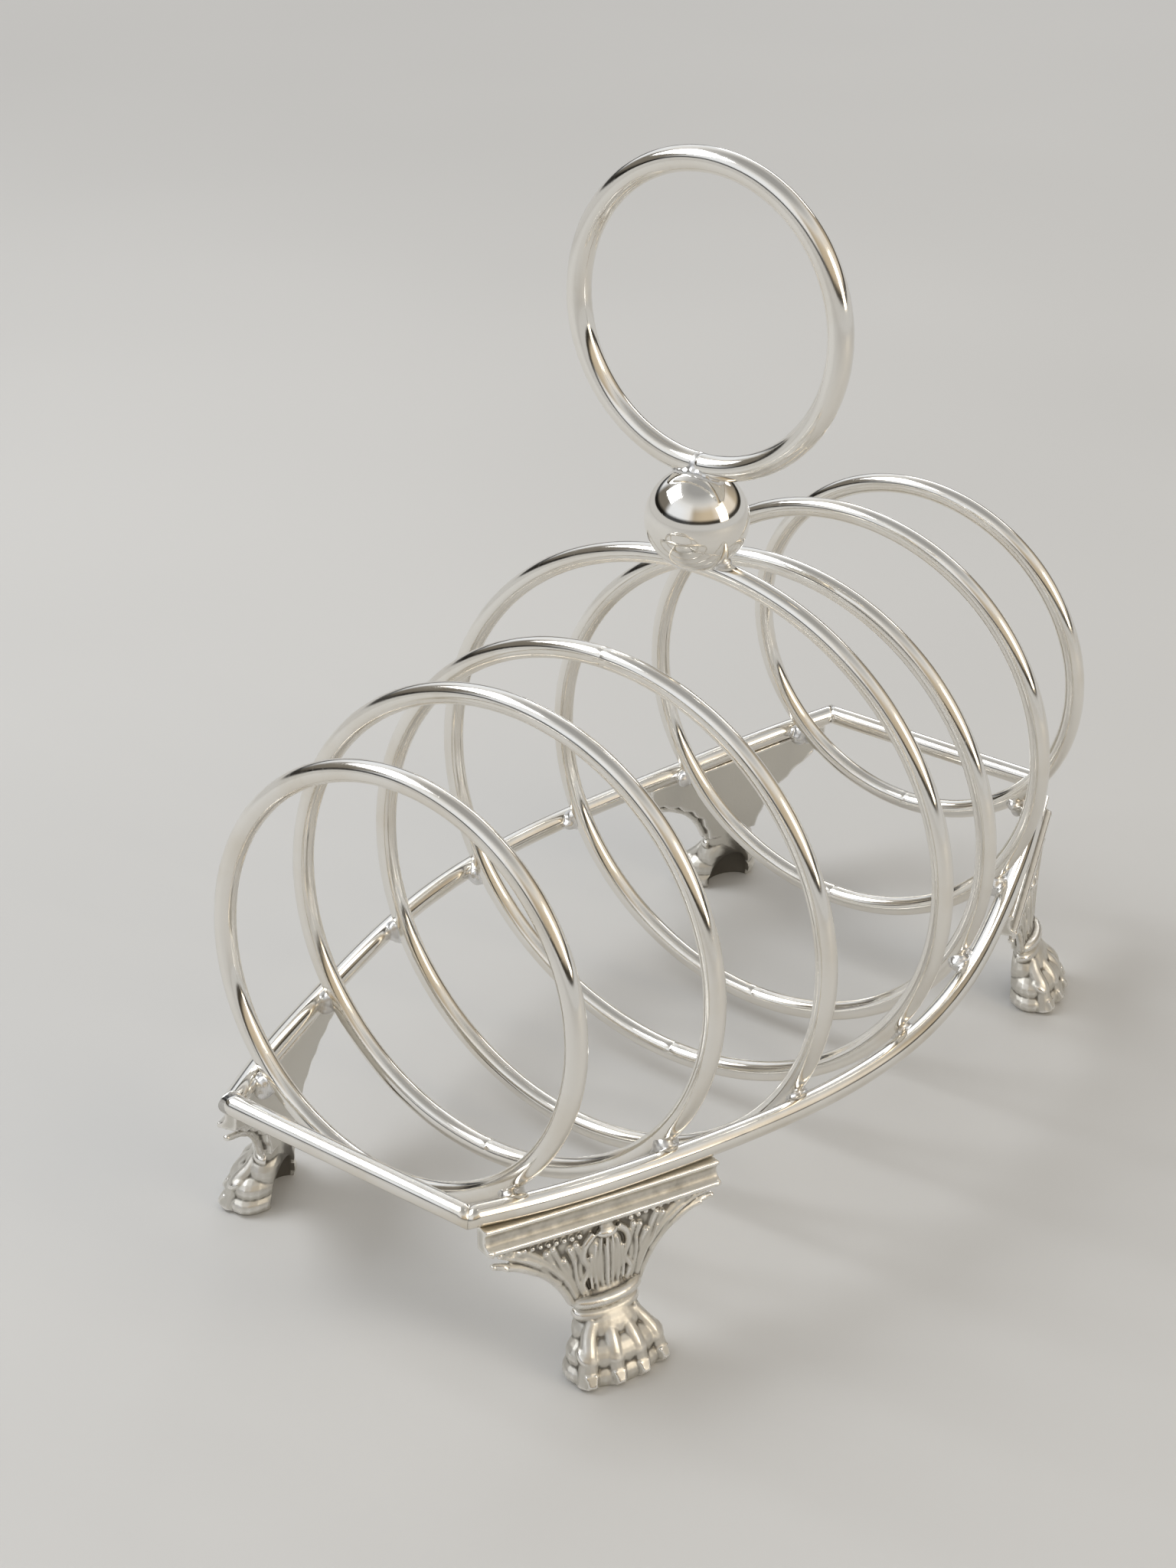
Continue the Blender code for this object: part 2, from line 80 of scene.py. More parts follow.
# Camera at the photograph's angle, worked out for a frame of 1536 by 2048
CAMERA_EYE = (208.4 * MM, -316.9 * MM, 254.4 * MM)
CAMERA_YAW = math.radians(35.66)
CAMERA_PITCH = math.radians(-27.60)
CAMERA_ROLL = math.radians(1.43)
CAMERA_LENS = 61.92
CAMERA_SENSOR = 36.0
CAMERA_NEAR = 0.01

# The room that the metal reflects: brightness by height, and its windows round the sides
ROOM_LEVELS = ((-1.0, 0.06), (0.08, 0.06), (0.21, 0.06), (0.30, 0.90), (0.72, 0.95), (0.95, 0.45))
ROOM_SKIRTING = (0.58, 0.57, 0.55, 1.0)
ROOM_WINDOWS = 3
ROOM_TURN = 0.6
ROOM_GAP = (0.20, 0.18, 0.15, 1.0)
ROOM_WINDOW = (0.95, 0.97, 1.0, 1.0)
ROOM_WARM = (0.85, 0.70, 0.50, 1.0)
ROOM_CEILING = (0.80, 0.79, 0.77, 1.0)

# The floor, in metres, with the band over which it fades to the skirting's colour, and the lamps' aim
FLOOR_RADIUS = 12.0
FLOOR_SEGMENTS = 96
FLOOR_DROP = 0.05 * MM
FLOOR_DIM = (0.60, 0.60, 0.595, 1.0)
FLOOR_PALE = (0.64, 0.64, 0.635, 1.0)
FLOOR_ROUGHNESS = 0.75
COVE_START = 0.35
COVE_END = 1.3
LAMP_AIM = Vector((0.0, 0.0, 0.06))

# Colours of the metal; the warm colour of its tarnished patches, also laid on surfaces that face down as
# painted shade; and the darker colour of the castings' hollows
CLEAN_SILVER = (0.90, 0.885, 0.85, 1.0)
WARM_FILM_AND_UNDERSIDE_SHADE = (0.66, 0.56, 0.40, 1.0)
SOLDER_GREY = (0.80, 0.80, 0.80, 1.0)
SOLDER_FILM_AND_UNDERSIDE_SHADE = (0.55, 0.50, 0.42, 1.0)
CAST_HOLLOW_DARK = (0.20, 0.185, 0.16, 1.0)
CAST_FROST = (0.70, 0.68, 0.63, 1.0)
CAST_RUBBED = (0.90, 0.88, 0.84, 1.0)

# How finely the pieces are modelled
ROD_SIDES = 24
HOOP_STEPS = 220
RAIL_STEPS = 180
BAR_STEPS = 48
RING_STEPS = 200
BALL_SEGMENTS = (96, 64)
LUMP_SEGMENTS = (24, 14)
STROKE_STEPS = 5
STROKE_UPWARD = Vector((0.13, 1.0, 0.21))
FINE_STROKE_SIDES = 8
BROAD_STROKE_SIDES = 12
MELTED_ROD_SIDES = 16
CORNICE_STEPS = 40
BRACKET_TOP_STEPS = 10
COLLAR_STEPS = 12
FOOT_VOXEL = 0.17 * MM
FOOT_SMOOTHING = 3
SOLDER_VOXEL = 0.22 * MM
JOINT_SMOOTHING = 14
SEAT_SMOOTHING = 10
RELIEF_SPREAD = 40
RELIEF_FULL = 0.22 * MM
CUT_NEARNESS = 1e-7

# Small signs of hand work on the rods and the ball
ROD_WAVE = 0.035 * MM
ROD_SWELL = 0.012
WAVES_PER_METRE = 45.0
SWELLS_PER_WAVE = 2.3
SEED_SHIFT = 7.3
LIFT_SHIFT = Vector((0.0, 9.1, 0.0))
SEAM_WIDTH = 0.22 * MM
SEAM_DEPTH = 0.03 * MM
CROWN_SEAM_HOOP = 2
MITRE_GAP = 0.02 * MM
RING_HALF_GAP = 0.0012
RING_END_LIFT = 0.08 * MM
RING_END_SHARE = 0.05
BALL_DENT = 0.03 * MM
BALL_DENT_SCALE = 2.4
BALL_DENT_SHIFT = Vector((3.0, 1.0, 7.0))
BALL_FLAT = 0.965
RAIL_SEED = 20
BAR_SEED = 30
RING_SEED = 41

# Solder; the spans that its lumps are drawn from are in millimetres
JOINT_LUMPS = 5
JOINT_REACH = 2.6 * MM
JOINT_OFFSETS = ((-0.4, 0.4), (-1.3, 1.3), (-1.0, 1.2))
JOINT_SIZES = ((1.0, 1.6), (1.2, 1.9), (1.0, 1.7))
JOINT_SEED_STEP = 100
MELTED_ROD_SHARE = 0.99
SEAT_LUMPS = 20
SEAT_HALF_LENGTH = 3.9 * MM
SEAT_HALF_WIDTH = 1.75 * MM
SEAT_SINK = 0.1 * MM
SEAT_SIZE = (0.65, 1.05)
SEAT_SEED = 7
SLEEVE_HALF_LENGTH = 2.1 * MM
SLEEVE_OFFSET = Vector((0.3 * MM, 0.0, 0.0))
SLEEVE_THICKNESS = 0.10 * MM
SADDLE_LUMPS = 4
SADDLE_HALF_WIDTH = 5.0
SADDLE_ACROSS = (-0.5, 0.9)
SADDLE_LIFT = (-0.3, 0.5)
SADDLE_BESIDE = (-0.6, 0.2)
SADDLE_SIZES = ((0.8, 1.5), (1.0, 1.5), (0.7, 1.2))
FOOT_JOINT = 0.05 * MM

# The cornice's face, from its top down, as shares of its depth and height, and the lump at each tip
CORNICE_FACE = (
    (0.66, 0.0), (0.72, 0.06), (0.72, 0.14), (0.55, 0.20), (0.42, 0.32), (0.40, 0.52),
    (0.50, 0.68), (0.78, 0.76), (0.98, 0.80), (1.0, 0.90), (0.90, 1.0),
)
CORNICE_TIP_PLACE = (0.965, 0.75, 0.88)
CORNICE_TIP_SIZE = (0.035, 0.3, 0.13)

# The bracket's scalloped lower edge, tip to collar, as shares of the foot's length and the leaf's height
BRACKET_EDGE = (
    (0.970, 0.97), (0.850, 0.93), (0.780, 0.81), (0.670, 0.77), (0.600, 0.63), (0.500, 0.56),
    (0.440, 0.40), (0.370, 0.33), (0.335, 0.15), (0.290, 0.03), (0.265, -0.15),
)

# How far the bracket's top reaches along the foot and down the cornice, as shares
BRACKET_TOP = (0.95, 0.85)

# Each toe's place across the paw, its place outward and how far its claw turns aside, as shares
TOES = ((-0.74, 0.48, -0.05), (-0.25, 0.62, -0.015), (0.25, 0.62, 0.015), (0.74, 0.48, 0.05))

# Ridges, knuckles and claws of the toes, as shares of the paw, with the claw's half sizes in metres
TOE_LINE = (0.135, 0.215)
KNUCKLE_SIZE = (0.235, 0.26, 0.13)
KNUCKLE_TILT = -0.6
NAIL_OUT = 0.36
NAIL_UP = 0.18
NAIL_SIZE = (1.55 * MM, 1.05 * MM, 1.35 * MM)
NAIL_TILT = -2.45
NAIL_TURN = -6
NAIL_FACETS = 5
NAIL_BLUNTNESS = 0.55
NAIL_LENGTH = 1.3

# The paw beside the solid's, and its three base lumps: place outward and up, then half sizes, as shares
PAW_WIDER = 1.06
PAW_SHORTER = 0.85
PAW_BASE = (
    (0.14, 0.76, (0.73, 0.50, 0.50)),
    (0.32, 0.46, (0.97, 0.60, 0.42)),
    (0.34, 0.16, (1.06, 0.67, 0.38)),
)
HOLLOW_SIZE = (0.80, 0.50, 0.80)
HOLLOW_LIFT = 0.15

# The collar's two rings, as shares of its bead, its width, its depth and half a turn
COLLAR_RING_BEAD = 0.41
COLLAR_LOWER_GIRTH = 0.93
COLLAR_FLATTENING = 0.95
COLLAR_START = 1.08
COLLAR_SWEEP = 1.16
COLLAR_CORE = (0.82, 0.62, 1.55)
COLLAR_CORE_LIFT = 0.9

# Leaf strokes, from root to tip, as shares of the foot's length and the leaf's height
FRONDS = (
    ((0.20, -0.04), (0.235, 0.16), (0.26, 0.36), (0.265, 0.56), (0.30, 0.74)),
    ((0.265, 0.00), (0.33, 0.26), (0.40, 0.46), (0.45, 0.64), (0.50, 0.80)),
    ((0.37, 0.36), (0.48, 0.58), (0.58, 0.72), (0.68, 0.83), (0.78, 0.90)),
    ((0.56, 0.66), (0.66, 0.78), (0.75, 0.86), (0.83, 0.92), (0.88, 0.96)),
)
LEAF_RIM = ((0.165, -0.02), (0.205, 0.16), (0.155, 0.36), (0.195, 0.56), (0.175, 0.72), (0.10, 0.86))
LEAF_VEINS = (
    ((0.040, 0.02), (0.050, 0.30), (0.055, 0.55), (0.045, 0.78)),
    ((0.085, 0.02), (0.105, 0.28), (0.105, 0.50), (0.090, 0.70)),
    ((0.130, 0.04), (0.140, 0.22), (0.130, 0.40), (0.140, 0.56)),
)
LEAF_MIDRIB = ((0.0, 0.0), (0.0, 0.3), (0.0, 0.55), (0.0, 0.78))
FROND_SPREAD = 0.054
FROND_DROP = 0.05
FROND_SLANT = 1.6
EDGE_INSET = (0.015, 0.03)

# Raised lines of the leaf: radius at the root and at the tip, and height above the bracket's face
FROND_LINE = (0.66 * MM, 0.52 * MM, -0.05 * MM)
FROND_RIB_LINE = (0.22 * MM, 0.16 * MM, 0.55 * MM)
RIM_LINE = (0.50 * MM, 0.60 * MM, 0.30 * MM)
VEIN_LINE = (0.27 * MM, 0.20 * MM, 0.68 * MM)
EDGE_LINE = (0.36 * MM, 0.50 * MM, -0.05 * MM)
MIDRIB_LINE = (0.36 * MM, 0.28 * MM, 0.78 * MM)

# Lumps of the leaf: half sizes, and heights above the bracket's face
FROND_TIP = (0.52 * MM, 0.60 * MM, 0.48 * MM)
FROND_TIP_LIFT = 0.20 * MM
LOBE_PLACE = (0.070, 0.36)
LOBE_SIZE = (1.9 * MM, 1.05 * MM)
LOBE_TALL = 0.46
LOBE_SINK = 0.2 * MM
CURL_UP = 0.86
CURL_SIZE = (1.75 * MM, 1.05 * MM, 0.85 * MM)
CURL_LIFT = 0.70 * MM
CROWN_UP = 0.95
CROWN_SIZE = (1.15 * MM, 0.9 * MM, 0.6 * MM)
CROWN_LIFT = 0.35 * MM

# The row of beads: first place, last place and count, then height and rise, then radius and taper in mm
BEAD_ROW = (0.22, 0.94, 12)
BEAD_UP = (0.90, 0.07)
BEAD_RADIUS = (0.48, 0.18)
BEAD_LIFT = 0.3 * MM


# The curves of the frame

def rail_height(along):
    return RAIL_LOW + RAIL_RISE * (along / FRAME_HALF_LENGTH) ** 2


def hoop_seat(index):
    """A hoop's tilt, and how far below its centre the rails touch it."""
    _, half_height, drop, lean = HOOPS[index]
    toward_middle = (index < MIDDLE) - (index > MIDDLE)
    return math.atan(lean) * toward_middle, half_height - drop


def hoop_frame(index):
    slant, hang = hoop_seat(index)
    along = (index - MIDDLE) * PITCH
    height = rail_height(along - hang * math.sin(slant)) + hang * math.cos(slant)
    return Matrix.Translation((0.0, along, height)) @ Matrix.Rotation(-slant, 4, "X")


def contact(index, slope):
    """Where the rail's axis passes a hoop: (along, half width), the two rods a seat gap apart."""
    half_width, half_height, _, _ = HOOPS[index]
    slant, hang = hoop_seat(index)
    along = (index - MIDDLE) * PITCH - hang * math.sin(slant)
    sine = -hang / half_height
    cosine = math.sqrt(1 - sine * sine)
    lean_in = math.atan2(-sine * half_width, cosine * half_height)
    rail_way = math.cos(math.atan(slope))
    facing = math.cos(lean_in) * rail_way
    facing /= math.sqrt(math.cos(lean_in) ** 2 + (math.sin(lean_in) * rail_way) ** 2)
    apart = (HOOP_ROD + RAIL_ROD) / 2 + SEAT_GAP
    return along, half_width * cosine + apart / facing


def second_slopes(places, values):
    """Second derivatives of the natural cubic curve through the points."""
    count = len(places)
    upper = [0.0] * count
    right = [0.0] * count
    for index in range(1, count - 1):
        before = places[index] - places[index - 1]
        after = places[index + 1] - places[index]
        rise = (values[index + 1] - values[index]) / after - (values[index] - values[index - 1]) / before
        pivot = 2 * (before + after) - before * upper[index - 1]
        upper[index] = after / pivot
        right[index] = (6 * rise - before * right[index - 1]) / pivot
    bends = [0.0] * count
    for index in range(count - 2, 0, -1):
        bends[index] = right[index] - upper[index] * bends[index + 1]
    return bends


def curve_at(knots, along):
    places, values, bends = knots
    index = 0
    while index < len(places) - 2 and along > places[index + 1]:
        index += 1
    span = places[index + 1] - places[index]
    near = (places[index + 1] - along) / span
    far = 1 - near
    bow = ((near**3 - near) * bends[index] + (far**3 - far) * bends[index + 1]) * span**2 / 6
    return near * values[index] + far * values[index + 1] + bow


def rail_knots():
    """The rail's half width along the frame: it touches every hoop and ends at the end bars."""
    slopes = [0.0] * len(HOOPS)
    knots = None
    for _ in range(4):
        touches = [contact(index, slope) for index, slope in enumerate(slopes)]
        places = [-FRAME_HALF_LENGTH] + [along for along, _ in touches] + [FRAME_HALF_LENGTH]
        values = [END_BAR_HALF_WIDTH] + [width for _, width in touches] + [END_BAR_HALF_WIDTH]
        knots = (places, values, second_slopes(places, values))
        step = 0.5 * MM
        for index, (along, _) in enumerate(touches):
            slopes[index] = (curve_at(knots, along + step) - curve_at(knots, along - step)) / (2 * step)
    return knots


RAIL = rail_knots()
HOOP_CROWN = hoop_frame(MIDDLE).translation.z + MIDDLE_HOOP[1]
BALL_PLACE = Vector((0.0, 0.0, HOOP_CROWN + BALL_RADIUS - BALL_SADDLE))
RING_PLACE = BALL_PLACE + Vector((0.0, 0.0, BALL_RADIUS + RING_LIFT + RING_RADIUS))


def rail_point(side, along):
    return Vector((side * curve_at(RAIL, along), along, rail_height(along)))


def corner_ways(side, end):
    """A corner of the frame and the two directions that run into it: the rail's and the bar's."""
    corner = rail_point(side, end * FRAME_HALF_LENGTH)
    before = rail_point(side, end * (FRAME_HALF_LENGTH - 1.0 * MM))
    return corner, (corner - before).normalized(), Vector((side, 0.0, 0.0))


# Meshes

def link_object(name, data):
    obj = bpy.data.objects.new(name, data)
    bpy.context.scene.collection.objects.link(obj)
    return obj


def finished_mesh(name, work):
    mesh = bpy.data.meshes.new(name)
    work.to_mesh(mesh)
    work.free()
    return mesh


def shares_of(lengths, shares):
    return [share * length for share, length in zip(shares, lengths)]


def join_rows(work, rows):
    """Faces between each ring of points and the next."""
    for first, second in zip(rows, rows[1:]):
        count = len(first)
        for index in range(count):
            after = (index + 1) % count
            work.faces.new((first[index], first[after], second[after], second[index]))


def add_piece(name, mesh, material, nodes=()):
    """Adds a finished piece to the rack, in place of the named nodes."""
    mesh.name = name
    mesh.shade_smooth()
    mesh.materials.clear()
    mesh.materials.append(material)
    obj = link_object(name, mesh)
    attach(obj, "root")
    if nodes:
        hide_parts(*nodes)


def rod_mesh(points, diameter, upward, closed, seed, cuts=(None, None)):
    """A hand-drawn rod along the points, with a slight wave and swell, its ends cut by planes."""
    count = len(points)
    radius = diameter / 2
    work = bmesh.new()
    grain = work.verts.layers.float_vector.new("grain")
    rows = []
    travelled = 0.0
    for index, point in enumerate(points):
        before = points[index - 1] if closed or index else point
        after = points[(index + 1) % count] if closed or index < count - 1 else point
        forward = (after - before).normalized()
        sideways = forward.cross(upward).normalized()
        lift = sideways.cross(forward)
        if index:
            travelled += (point - points[index - 1]).length
        probe = point * WAVES_PER_METRE + Vector((seed * SEED_SHIFT, 0.0, 0.0))
        centre = point + sideways * ROD_WAVE * noise.noise(probe)
        centre = centre + lift * ROD_WAVE * noise.noise(probe + LIFT_SHIFT)
        girth = radius * (1 - ROD_SWELL * (0.5 + 0.5 * noise.noise(probe * SWELLS_PER_WAVE)))
        if closed and index == 0:
            girth -= SEAM_DEPTH
        cut = cuts[0] if index == 0 else cuts[1] if index == count - 1 else None
        row = []
        for side in range(ROD_SIDES):
            turn = 2 * math.pi * side / ROD_SIDES
            place = centre + (sideways * math.cos(turn) + lift * math.sin(turn)) * girth
            if cut:
                on_plane, facing = cut
                place = place + forward * ((on_plane - place).dot(facing) / forward.dot(facing))
            vertex = work.verts.new(place)
            vertex[grain] = (radius * math.cos(turn), radius * math.sin(turn), travelled)
            row.append(vertex)
        rows.append(row)
    if closed:
        join_rows(work, rows + rows[:1])
    else:
        join_rows(work, rows)
        work.faces.new(list(reversed(rows[0])))
        work.faces.new(rows[-1])
    bmesh.ops.recalc_face_normals(work, faces=work.faces)
    return finished_mesh("rod", work)


def oval_points(half_width, half_height, start, steps):
    """Points round an oval, with a close pair each side of the butt seam where they start."""
    beside = SEAM_WIDTH / 2 / half_height
    turns = [0.0, beside]
    turns += [2 * math.pi * step / steps for step in range(1, steps)]
    turns.append(2 * math.pi - beside)
    points = []
    for turn in turns:
        across = half_width * math.cos(start + turn)
        points.append(Vector((across, 0.0, half_height * math.sin(start + turn))))
    return points


def evaluated_mesh(obj):
    bpy.context.view_layer.update()
    graph = bpy.context.evaluated_depsgraph_get()
    return bpy.data.meshes.new_from_object(obj.evaluated_get(graph))


def cast_mesh(work, voxel, smoothing):
    """Melts the lumps in a bmesh into one closed skin."""
    bmesh.ops.recalc_face_normals(work, faces=work.faces)
    obj = link_object("lumps", finished_mesh("lumps", work))
    melt = obj.modifiers.new("melt", "REMESH")
    melt.mode = "VOXEL"
    melt.voxel_size = voxel
    soften = obj.modifiers.new("soften", "SMOOTH")
    soften.factor = 0.5
    soften.iterations = smoothing
    mesh = evaluated_mesh(obj)
    bpy.data.objects.remove(obj, do_unlink=True)
    return mesh


def add_lump(work, place, size, tilt=0.0):
    """One rounded lump: a sphere stretched to the given half sizes."""
    shape = Matrix.Translation(place) @ Matrix.Rotation(tilt, 4, "X") @ Matrix.Diagonal((*size, 1.0))
    around, upward = LUMP_SEGMENTS
    bmesh.ops.create_uvsphere(work, u_segments=around, v_segments=upward, radius=1.0, matrix=shape)


def smooth_path(points):
    """Points along a rounded curve through the given points."""
    path = []
    last = len(points) - 1
    for index in range(last):
        first = points[max(index - 1, 0)]
        second = points[index]
        third = points[index + 1]
        fourth = points[min(index + 2, last)]
        for step in range(STROKE_STEPS):
            t = step / STROKE_STEPS
            bend = (2 * first - 5 * second + 4 * third - fourth) * t * t
            curl = (3 * second - first - 3 * third + fourth) * t**3
            path.append((2 * second + (third - first) * t + bend + curl) / 2)
    path.append(points[-1])
    return path


def add_stroke(work, points, start_radius, end_radius, sides=FINE_STROKE_SIDES):
    """A rounded raised line along the points, tapering to its end."""
    path = smooth_path([Vector(point) for point in points])
    count = len(path)
    rows = []
    for index, point in enumerate(path):
        forward = (path[min(index + 1, count - 1)] - path[max(index - 1, 0)]).normalized()
        sideways = forward.cross(STROKE_UPWARD).normalized()
        lift = sideways.cross(forward)
        radius = start_radius + (end_radius - start_radius) * index / (count - 1)
        row = []
        for side in range(sides):
            turn = 2 * math.pi * side / sides
            way = sideways * math.cos(turn) + lift * math.sin(turn)
            row.append(work.verts.new(point + way * radius))
        rows.append(row)
    join_rows(work, rows)
    for row, point, way in ((rows[0], path[0], -1), (rows[-1], path[-1], 1)):
        tip = work.verts.new(point)
        for side in range(sides):
            work.faces.new((tip, row[side], row[(side + 1) % sides])[::way])


def slice_flat(mesh, place, keep):
    """Cuts a mesh flat at a plane and closes it, keeping what lies along the given direction."""
    work = bmesh.new()
    work.from_mesh(mesh)
    geometry = work.verts[:] + work.edges[:] + work.faces[:]
    cut = bmesh.ops.bisect_plane(
        work, geom=geometry, dist=CUT_NEARNESS, plane_co=place, plane_no=keep, clear_inner=True
    )
    rim = [part for part in cut["geom_cut"] if isinstance(part, bmesh.types.BMEdge)]
    bmesh.ops.contextual_create(work, geom=rim)
    bmesh.ops.recalc_face_normals(work, faces=work.faces)
    work.to_mesh(mesh)
    work.free()


def keep_relief(mesh, spread):
    """Stores how far each point stands above or below its surroundings, for the rubbed high points and
    the darker hollows.
    """
    count = len(mesh.vertices)
    places = numpy.empty(count * 3)
    mesh.vertices.foreach_get("co", places)
    places = places.reshape(count, 3)
    normals = numpy.empty(count * 3)
    mesh.vertex_normals.foreach_get("vector", normals)
    normals = normals.reshape(count, 3)
    ends = numpy.empty(len(mesh.edges) * 2, dtype=numpy.int32)
    mesh.edges.foreach_get("vertices", ends)
    first, second = ends.reshape(-1, 2).T
    degree = numpy.bincount(ends, minlength=count)[:, None]
    around = places.copy()
    for _ in range(spread):
        total = numpy.zeros_like(around)
        numpy.add.at(total, first, around[second])
        numpy.add.at(total, second, around[first])
        around = 0.5 * around + 0.5 * total / degree
    height = ((places - around) * normals).sum(axis=1)
    height = numpy.clip(height / RELIEF_FULL, -1.0, 1.0)
    layer = mesh.attributes.new("relief", "FLOAT", "POINT")
    layer.data.foreach_set("value", height.astype(numpy.float32))


# The hoops, frame and handle

def build_hoops(material):
    for index, (half_width, half_height, _, _) in enumerate(HOOPS):
        seam_turn = math.pi / 2 if index == CROWN_SEAM_HOOP else -math.pi / 2
        points = oval_points(half_width, half_height, seam_turn, HOOP_STEPS)
        mesh = rod_mesh(points, HOOP_ROD, Vector((0.0, 1.0, 0.0)), True, index + 1)
        mesh.transform(hoop_frame(index))
        name = "hoop_" + str(index + 1)
        add_piece(name + "_rod", mesh, material, (name,))


def mitre(side, end, rail_side):
    """The plane of a corner's mitre, a hair short of the corner, facing along the rod that it cuts."""
    corner, rail_way, bar_way = corner_ways(side, end)
    facing = (rail_way - bar_way).normalized() * (1 if rail_side else -1)
    return corner - facing * MITRE_GAP, facing


def build_frame(material):
    upward = Vector((0.0, 0.0, 1.0))
    for side, side_name in SIDES:
        points = []
        for step in range(RAIL_STEPS + 1):
            points.append(rail_point(side, FRAME_HALF_LENGTH * (2 * step / RAIL_STEPS - 1)))
        cuts = [mitre(side, end, True) for end, _ in ENDS]
        mesh = rod_mesh(points, RAIL_ROD, upward, False, RAIL_SEED + side, cuts)
        name = "side_rail_" + side_name
        add_piece(name + "_rod", mesh, material, (name,))
    for end, end_name in ENDS:
        points = []
        for step in range(BAR_STEPS + 1):
            across = END_BAR_HALF_WIDTH * (2 * step / BAR_STEPS - 1)
            points.append(Vector((across, end * FRAME_HALF_LENGTH, rail_height(FRAME_HALF_LENGTH))))
        cuts = [mitre(side, end, False) for side, _ in SIDES]
        mesh = rod_mesh(points, RAIL_ROD, upward, False, BAR_SEED + end, cuts)
        name = "end_bar_" + end_name
        add_piece(name + "_rod", mesh, material, (name,))


def build_ring(material):
    """The ring is one bent rod: its left end stands a little high where the two ends meet on the ball."""
    points = []
    sweep = 2 * math.pi - 2 * RING_HALF_GAP
    for step in range(RING_STEPS + 1):
        turn = -math.pi / 2 + RING_HALF_GAP + sweep * step / RING_STEPS
        near_end = max(0.0, 1 - (RING_STEPS - step) / (RING_END_SHARE * RING_STEPS))
        radius = RING_RADIUS - RING_END_LIFT * near_end**2
        points.append(Vector((radius * math.cos(turn), 0.0, radius * math.sin(turn))))
    mesh = rod_mesh(points, RING_ROD, Vector((0.0, 1.0, 0.0)), False, RING_SEED)
    mesh.transform(Matrix.Translation(RING_PLACE))
    add_piece("ring_handle_rod", mesh, material, ("ring_handle",))


def build_ball(material):
    """The ball, turned, with a flat seat under the ring and faint dents from handling."""
    work = bmesh.new()
    around, upward = BALL_SEGMENTS
    bmesh.ops.create_uvsphere(work, u_segments=around, v_segments=upward, radius=BALL_RADIUS)
    for vertex in work.verts:
        way = vertex.co.normalized()
        dent = 0.5 + 0.5 * noise.noise(way * BALL_DENT_SCALE + BALL_DENT_SHIFT)
        vertex.co = vertex.co - way * dent * BALL_DENT
        vertex.co.z = min(vertex.co.z, BALL_FLAT * BALL_RADIUS)
    bmesh.ops.translate(work, vec=BALL_PLACE, verts=work.verts)
    add_piece("ball_turned", finished_mesh("ball", work), material, ("ball",))


# Solder

def add_melted_rod(work, points, diameter):
    radius = MELTED_ROD_SHARE * diameter / 2
    add_stroke(work, points, radius, radius, MELTED_ROD_SIDES)


def drawn_size(draw, spans):
    return [draw.uniform(*span) * MM for span in spans]


def solder_joint(index, side):
    """Solder that has run into the corner between a hoop and a rail."""
    half_width, half_height, _, _ = HOOPS[index]
    _, hang = hoop_seat(index)
    draw = random.Random(JOINT_SEED_STEP * index + side)
    place = hoop_frame(index)
    turn = math.asin(-hang / half_height)
    along, _ = contact(index, 0.0)
    arc = []
    bed = []
    for step in (-2, -1, 0, 1, 2):
        bend = turn + step * JOINT_REACH / 2 / half_height
        spot = Vector((side * half_width * math.cos(bend), 0.0, half_height * math.sin(bend)))
        arc.append(place @ spot)
        bed.append(rail_point(side, along + step * JOINT_REACH / 2))
    work = bmesh.new()
    add_melted_rod(work, arc, HOOP_ROD)
    add_melted_rod(work, bed, RAIL_ROD)
    middle = (arc[2] + bed[2]) / 2
    for _ in range(JOINT_LUMPS):
        offset = Vector([draw.uniform(*span) for span in JOINT_OFFSETS]) * MM
        add_lump(work, middle + offset, drawn_size(draw, JOINT_SIZES))
    return cast_mesh(work, SOLDER_VOXEL, JOINT_SMOOTHING)


def ring_seat_solder(draw):
    """Solder in a line of lumps round the ring's seat, with a thin sleeve over the ring's own joint."""
    work = bmesh.new()
    for step in range(SEAT_LUMPS):
        turn = 2 * math.pi * step / SEAT_LUMPS
        across = SEAT_HALF_LENGTH * math.cos(turn)
        beside = SEAT_HALF_WIDTH * math.sin(turn)
        lift = math.sqrt(BALL_RADIUS**2 - across**2 - beside**2) - SEAT_SINK
        size = drawn_size(draw, (SEAT_SIZE, SEAT_SIZE, SEAT_SIZE))
        add_lump(work, BALL_PLACE + Vector((across, beside, lift)), size)
    joint = RING_PLACE - Vector((0.0, 0.0, RING_RADIUS))
    sleeve = RING_ROD / 2 + SLEEVE_THICKNESS
    add_lump(work, joint - SLEEVE_OFFSET, (SLEEVE_HALF_LENGTH, sleeve, sleeve))
    return cast_mesh(work, SOLDER_VOXEL, SEAT_SMOOTHING)


def ball_saddle_solder(draw):
    """Solder each side of the ball, where it sits over the middle hoop's crown."""
    work = bmesh.new()
    for way in (-1, 1):
        for _ in range(SADDLE_LUMPS):
            across = way * (SADDLE_HALF_WIDTH + draw.uniform(*SADDLE_ACROSS)) * MM
            lift = -math.sqrt(BALL_RADIUS**2 - across**2) + draw.uniform(*SADDLE_LIFT) * MM
            size = drawn_size(draw, SADDLE_SIZES)
            beside = draw.uniform(*SADDLE_BESIDE) * MM
            add_lump(work, BALL_PLACE + Vector((across, beside, lift)), size)
    return cast_mesh(work, SOLDER_VOXEL, SEAT_SMOOTHING)


def build_solder(material):
    for index in range(len(HOOPS)):
        for side, side_name in SIDES:
            name = "solder_hoop_" + str(index + 1) + "_" + side_name
            add_piece(name, solder_joint(index, side), material)
    draw = random.Random(SEAT_SEED)
    add_piece("solder_ring_seat", ring_seat_solder(draw), material)
    add_piece("solder_ball_saddle", ball_saddle_solder(draw), material)


# The cast feet

